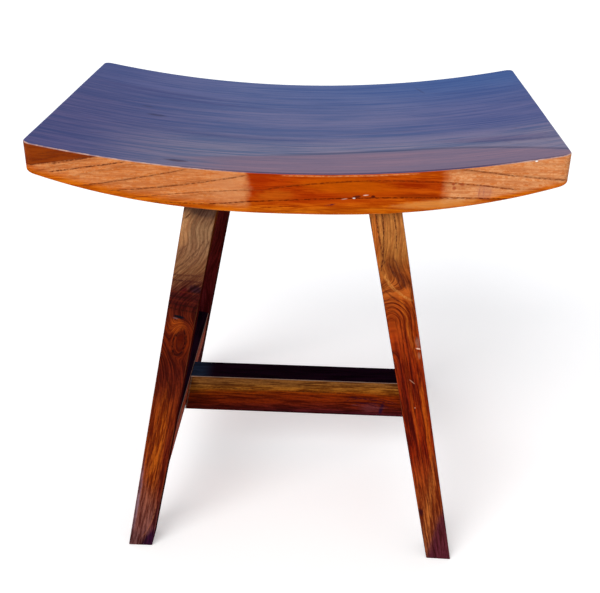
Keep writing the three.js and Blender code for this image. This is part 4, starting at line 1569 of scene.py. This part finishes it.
CROSS_RAIL = RailFinish(
    name="cross_rail_varnished",
    seed=23.0,
    marks=(
        Patch(90.0, 82.0, 12.0, 6.0, (0.13, 0.024, 0.026), 0.65),
        Patch(102.5, 81.0, 2.2, 7.0, (0.012, 0.003, 0.020), 0.8, 12.0),
        Vein(102.6, -128.0, 60.0, 0.004, -0.00004, (0.030, 0.006, 0.002), 0.9, 0.75, 1.2, True),
        Vein(84.0, 68.0, 113.0, 0.50, -0.0118, (0.030, 0.003, 0.010), 1.0, 0.85, 0.8, True),
        Vein(90.0, 58.0, 126.0, 0.40, -0.0066, (0.035, 0.004, 0.006), 1.0, 0.75, 0.8, True),
        Vein(96.0, 62.0, 118.0, -0.02, -0.0022, (0.030, 0.003, 0.008), 1.1, 0.85, 0.8, True),
        Vein(90.0, 70.0, 100.0, -0.10, -0.0040, (0.030, 0.003, 0.008), 1.1, 0.75, 0.8, True),
        Vein(86.0, 66.0, 110.0, -0.16, 0.0020, (0.16, 0.040, 0.040), 1.2, 0.5, 0.8, True),
        Vein(-134.9, 70.0, 119.0, 0.2, 0.0, (0.22, 0.16, 0.13), 0.9, 0.55, 0.4),
        Vein(134.9, 70.0, 119.0, -0.2, 0.0, (0.10, 0.06, 0.05), 0.9, 0.45, 0.4),
    ),
)
SIDE_RAIL = RailFinish(
    name="side_rail_varnished",
    seed=29.0,
    ring_peak=20.0,
    front_tones=(
        (70.0, (0.13, 0.022, 0.016)), (90.0, (0.36, 0.062, 0.034)), (105.0, (0.40, 0.074, 0.034)),
        (120.0, (0.22, 0.046, 0.024)),
    ),
)


@dataclass(frozen=True, kw_only=True)
class PegFinish(Finish):
    """A peg: end grain on its head, a little paler than the wood round it."""

    name: str = "peg_end_grain"
    seed: float = 31.0
    pale: Tone = (0.24, 0.085, 0.022)
    ring_spacing: float = 1.3
    ring_width: float = 0.5
    ring_bow: float = 0.12
    ring_peak: float = -1.0
    ring_line: Tone = (0.09, 0.022, 0.006)
    worn: Tone = (0.09, 0.022, 0.006)
    worn_reach: float = 0.8
    varnish: Varnish = Varnish(relief=0.5, roughness=0.6)

    def paint(self, job: Dressing) -> tuple[Value, Value, Feed]:
        """Works out the finish.

        Args:
            job: The material that is being dressed.

        Returns:
            The unworn colour, the share of wear over it and the strength of the coat.
        """
        job.grow(job.across + (job.through - self.ring_peak).squared() * self.ring_bow, 0.3)
        colour = job.fibre.streak.blend(self.pale, self.ring_line)
        return colour.towards(self.ring_line, job.rings.line * 0.7), job.worn * 0.5, 0.03


# Sub-assemblies


@dataclass
class Seat:
    """The seat board."""

    effects: Effects
    sizes: SeatSizes = SEAT
    finish: SeatFinish = SeatFinish()
    cell: Triple = (3.2, 3.2, 3.0)
    planing: float = 0.12
    seed: int = 5

    def surface(self) -> Surface:
        """The board's skin: a block whose top and bottom follow the two curves along its length."""
        sizes = self.sizes
        half = sizes.middle_thickness / 2
        size = (sizes.length / 2, sizes.depth / 2, half)
        skin = Block(size, sizes.easing, sizes.corner, self.cell).surface()
        x, _, z = skin.points.T
        band = 2 * sizes.easing
        skin.points[:, 2] = kept_ends(z, half, band, sizes.underside_at(x), sizes.top_at(x))
        skin.wood = skin.points.copy()
        return skin.hand_worked(self.planing, self.seed)

    def build(self) -> bpy.types.Object:
        """Makes the board."""
        return self.surface().as_piece("seat_board", "seat", Wood.SEAT, self.finish.dress(self.effects))


@dataclass
class SideFrame:
    """One side frame: two tapered legs, the rail between them and the pegs through its joints."""

    effects: Effects
    side: Side
    finishes: Mapping[End, LegFinish]
    rail_material: bpy.types.Material
    peg_material: bpy.types.Material
    sizes: FrameSizes = FRAME
    cell: float = 2.4
    planing: float = 0.12
    leg_seed: int = 40
    rail_seed: int = 60
    fitting_rounds: int = 14
    peg_sides: int = 40

    def leg_surface(self, end: End) -> Surface:
        """A leg's skin, in the stool's frame.

        The block's section is scaled by the taper. Its lower end is carried to the level plane of the floor
        and its upper end to the seat's underside, found by steps along the leg.

        Args:
            end: Which leg.

        Returns:
            The surface.
        """
        sizes = self.sizes
        half_length = sizes.leg_length / 2
        half_width = sizes.leg_top / 2
        size = (half_width, half_width, half_length)
        block = Block(size, sizes.easing, sizes.easing, (self.cell,) * 3, ((2, 1),))
        seed = self.leg_seed + self.side.value + 3 * end.value
        skin = block.surface().hand_worked(self.planing, seed)
        lean = -self.side.value * sizes.frame_lean
        tip = end.value * sizes.leg_lean
        along = skin.points[:, 2] + half_length
        high = np.full_like(along, sizes.leg_length)
        for _ in range(self.fitting_rounds):
            taper = sizes.leg_width(along) / sizes.leg_top
            across = skin.points[:, 0] * taper
            through = skin.points[:, 1] * taper
            low = (across * math.tan(lean) - through * math.sin(tip)) / math.cos(tip)
            tops = in_side_frame(in_leg(np.stack([across, through, high], axis=1), end), self.side)
            short = SEAT.underside_at(tops[:, 0]) - sizes.gap - tops[:, 2]
            high = high + short / (math.cos(lean) * math.cos(tip))
            along = kept_ends(skin.points[:, 2], half_length, 2 * sizes.easing, low, high)
        place = np.stack([across, through, along], axis=1)
        skin.wood = place[:, [2, 0, 1]]
        skin.facing = skin.facing[:, [2, 0, 1]]
        skin.points = in_side_frame(in_leg(place, end), self.side)
        return skin

    def rail_surface(self) -> Surface:
        """The side rail's skin, between the two legs' leaning inner faces."""
        sizes = self.sizes
        seed = self.rail_seed + self.side.value
        skin = bar_between(sizes.leg_face, sizes.side_thickness, sizes.side_rail_middle, seed)
        skin.points = in_side_frame(skin.points[:, [1, 0, 2]], self.side)
        skin.faces = [face[::-1] for face in skin.faces]
        return skin

    def peg_surface(self, length: float) -> Surface:
        """A peg's skin: a profile turned about its axis, a low dome for its head and a blunt tip.

        The radius along the profile is a quarter ellipse over the dome, then even, then a short cone.

        Args:
            length: From the face it is driven into to its blind end.

        Returns:
            The surface, along +X from its head.
        """
        radius, proud, cone = self.sizes.peg_radius, self.sizes.peg_head, self.sizes.peg_cone
        turn = np.linspace(math.pi / 14, math.pi / 2, 7)
        dome = np.stack([proud * -np.cos(turn), radius * np.sin(turn)], axis=1)
        body = np.array([[length / 2, radius], [length - cone, radius], [length, radius - cone]])
        profile = np.concatenate([dome, body])
        count = self.peg_sides
        angle = np.arange(count) * 2 * math.pi / count
        rings = np.stack([
            np.repeat(profile[:, 0], count),
            np.outer(profile[:, 1], np.cos(angle)).ravel(),
            np.outer(profile[:, 1], np.sin(angle)).ravel(),
        ], axis=1)
        points = np.concatenate([rings, [[-proud, 0.0, 0.0], [length, 0.0, 0.0]]])
        start = np.arange(len(profile) - 1)[:, None] * count
        here = np.arange(count)[None, :]
        after = (here + 1) % count
        quads = np.stack([start + here, start + count + here, start + count + after, start + after], axis=-1)
        last = (len(profile) - 1) * count
        head = np.stack([here[0], after[0], np.full(count, len(points) - 2)], axis=1)
        tip = np.stack([last + after[0], last + here[0], np.full(count, len(points) - 1)], axis=1)
        faces = quads.reshape(-1, 4).tolist() + head.tolist() + tip.tolist()
        out = np.hypot(points[:, 1], points[:, 2])
        facing = np.where(points[:, :1] <= 0.0, (-1.0, 0.0, 0.0), (0.0, 1.0, 0.0))
        return Surface(points, faces, facing, radius - out, points.copy())

    def build(self) -> list[bpy.types.Object]:
        """Makes the frame's two legs, its rail and its three pegs."""
        side = self.side.name.lower()
        pieces = []
        for end in End:
            node = f"{end.name.lower()}_{side}_leg"
            material = self.finishes[end].dress(self.effects)
            pieces.append(self.leg_surface(end).as_piece(f"{node}_post", node, Wood.LEG, material))
            pieces.append(self._frame_peg(end))
        node = f"{side}_side_rail"
        pieces.append(self.rail_surface().as_piece(f"{node}_bar", node, Wood.RAIL, self.rail_material))
        pieces.append(self._cross_peg())
        return pieces

    def _peg(self, joint: str, skin: Surface, place: Array) -> bpy.types.Object:
        """Makes a peg.

        Args:
            joint: Its joint's name.
            skin: Its surface.
            place: The surface's points in the side frame.

        Returns:
            The peg.
        """
        node = f"{joint}_peg"
        skin.points = in_side_frame(place, self.side)
        return skin.as_piece(f"{node}_pin", node, Wood.PEG, self.peg_material)

    def _frame_peg(self, end: End) -> bpy.types.Object:
        """The peg through a side rail's tenon, driven from the leg's inner face.

        Args:
            end: Which of the rail's tenons.

        Returns:
            The peg.
        """
        sizes = self.sizes
        width = sizes.width_at_rail
        skin = self.peg_surface(width - sizes.peg_cover)
        outward = self.side.value
        shoulder = float(sizes.leg_face(np.array(sizes.side_rail_middle)))
        tenon = width - sizes.tenon_cover
        place = skin.points * (outward, outward, 1.0)
        place += (-outward * width / 2, end.value * (shoulder + tenon / 2), sizes.side_rail_middle)
        return self._peg(f"{end.name.lower()}_{self.side.name.lower()}", skin, place)

    def _cross_peg(self) -> bpy.types.Object:
        """The peg through the cross rail's tenon, driven upwards from under the side rail."""
        sizes = self.sizes
        skin = self.peg_surface(sizes.rail_height - sizes.peg_cover)
        tenon = sizes.side_thickness / math.cos(sizes.frame_lean) - sizes.tenon_cover
        offset = -self.side.value * (sizes.side_thickness / 2 - tenon / 2)
        place = skin.points[:, [1, 2, 0]] + (offset, 0.0, sizes.side_rail_top - sizes.rail_height)
        return self._peg(f"{self.side.name.lower()}_cross", skin, place)


@dataclass
class CrossRail:
    """The long rail that joins the two side frames."""

    material: bpy.types.Material
    sizes: FrameSizes = FRAME
    seed: int = 71

    def surface(self) -> Surface:
        """The rail's skin, between the side rails' leaning inner faces."""
        sizes = self.sizes
        middle = sizes.rail_top - sizes.rail_height / 2
        return bar_between(sizes.side_face, sizes.cross_depth, middle, self.seed)

    def build(self) -> bpy.types.Object:
        """Makes the rail."""
        return self.surface().as_piece("cross_rail_bar", "cross_rail", Wood.RAIL, self.material)


# Studio


@dataclass(frozen=True)
class Studio:
    """A pale floor, a white surround, one broad soft lamp from the front left and a cool window behind."""

    floor_half: float = 14.0
    floor_tone: Tone = (0.86, 0.86, 0.86)
    floor_glow: float = 0.35
    sky: float = 0.52
    sun: float = 2.1
    sun_direction: Triple = (0.42, 0.76, -0.62)
    sun_angle: float = math.radians(42.0)
    window: Tone = (0.25, 0.45, 1.1)
    window_width: float = 3.4
    window_low: float = 0.70
    window_high: float = 0.95
    window_distance: float = 1.6

    def background_rays(self, graph: Graph) -> Value:
        """Which rays see the white background: those from the camera, from a reflection or through glass.

        Args:
            graph: The graph that asks.

        Returns:
            1 for those rays.
        """
        rays = graph.node("ShaderNodeLightPath").outputs
        camera, glossy, through = (
            Value(graph, rays[f"Is {kind} Ray"]) for kind in ("Camera", "Glossy", "Transmission")
        )
        return camera.at_least(glossy).at_least(through)

    def build_floor(self) -> bpy.types.Object:
        """Makes the floor, whose material keeps the object's shadow."""
        half = self.floor_half
        corners = [(-half, -half, 0.0), (half, -half, 0.0), (half, half, 0.0), (-half, half, 0.0)]
        mesh = bpy.data.meshes.new("floor")
        mesh.from_pydata(corners, [], [(0, 1, 2, 3)])
        material, graph, shader = new_material("floor_paper")
        graph.fill(shader, {
            "Base Color": self.floor_tone,
            "Roughness": 1.0,
            "Specular IOR Level": 0.0,
            "Emission Color": WHITE,
            "Emission Strength": self.background_rays(graph) * self.floor_glow,
        })
        mesh.materials.append(material)
        floor = linked("floor", mesh)
        return floor

    def build_world(self) -> None:
        """Makes the surround: white where it is seen or reflected, and the plain light level for the rest."""
        world = bpy.data.worlds.new("surround")
        world.use_nodes = True
        world.node_tree.nodes.clear()
        graph = Graph(world.node_tree)
        mix = {0: self.background_rays(graph)}
        for number, strength in enumerate((self.sky, 1.0), start=1):
            mix[number] = graph.made("ShaderNodeBackground", {"Color": WHITE, "Strength": strength})
        graph.fill(graph.node("ShaderNodeOutputWorld"), {"Surface": graph.made("ShaderNodeMixShader", mix)})
        bpy.context.scene.world = world

    def build_lamps(self) -> None:
        """Makes the soft sun and the window, which shows only in the seat's varnish."""
        sun = bpy.data.lights.new("soft_sun", "SUN")
        sun.energy = self.sun
        sun.angle = self.sun_angle
        lamp = linked("soft_sun", sun)
        lamp.rotation_euler = Vector(self.sun_direction).to_track_quat("-Z", "Y").to_euler()
        height = self.window_high - self.window_low
        peak = max(self.window)
        window = bpy.data.lights.new("window", "AREA")
        window.shape = "RECTANGLE"
        window.size = self.window_width
        window.size_y = height
        window.color = tuple(part / peak for part in self.window)
        window.energy = peak * math.pi * self.window_width * height
        pane = linked("window", window)
        pane.location = (0.0, self.window_distance, (self.window_low + self.window_high) / 2)
        pane.rotation_euler = Vector((0.0, -1.0, 0.0)).to_track_quat("-Z", "Y").to_euler()
        pane.visible_camera = False

    def build(self) -> None:
        """Makes the whole studio and sets the plain view."""
        self.build_floor()
        self.build_world()
        self.build_lamps()
        bpy.context.scene.view_settings.view_transform = "Standard"


@dataclass(frozen=True)
class Viewpoint:
    """The photograph's camera, found from the stool's corners. Its centre and image are in pixels."""

    place: Triple = (36.822, -908.762, 691.273)
    yaw: float = math.radians(3.286)
    pitch: float = math.radians(27.279)
    roll: float = math.radians(0.310)
    focal_pixels: float = 886.893
    centre: tuple[float, float] = (284.749, 295.651)
    image: tuple[float, float] = (600.0, 593.0)
    sensor: float = 36.0
    nearest: float = 0.05
    farthest: float = 60.0

    def build(self) -> bpy.types.Object:
        """Makes the camera and sets it as the scene's."""
        level = Matrix.Rotation(self.yaw, 4, "Z") @ Matrix.Rotation(math.pi / 2, 4, "X")
        turn = level @ Matrix.Rotation(-self.pitch, 4, "X") @ Matrix.Rotation(self.roll, 4, "Z")
        wide, high = self.image
        lens = bpy.data.cameras.new("camera")
        lens.sensor_fit = "HORIZONTAL"
        lens.sensor_width = self.sensor
        lens.lens = self.focal_pixels / wide * self.sensor
        lens.shift_x = (wide / 2 - self.centre[0]) / wide
        lens.shift_y = (self.centre[1] - high / 2) / wide
        lens.clip_start = self.nearest
        lens.clip_end = self.farthest
        camera = linked("camera", lens)
        camera.matrix_world = Matrix.Translation(Vector(self.place) * METRE) @ turn
        bpy.context.scene.camera = camera
        return camera


def main() -> None:
    """Builds the camera, the studio and the stool."""
    Viewpoint().build()
    Studio().build()
    effects = Effects()
    Seat(effects).build()
    side_material = SIDE_RAIL.dress(effects)
    peg_material = PegFinish().dress(effects)
    legs = {
        Side.LEFT: {End.FRONT: LEFT_FRONT, End.REAR: REAR_LEFT},
        Side.RIGHT: {End.FRONT: RIGHT_FRONT, End.REAR: REAR_RIGHT},
    }
    for side in Side:
        SideFrame(effects, side, legs[side], side_material, peg_material).build()
    CrossRail(CROSS_RAIL.dress(effects)).build()


if __name__ == "__main__":
    main()
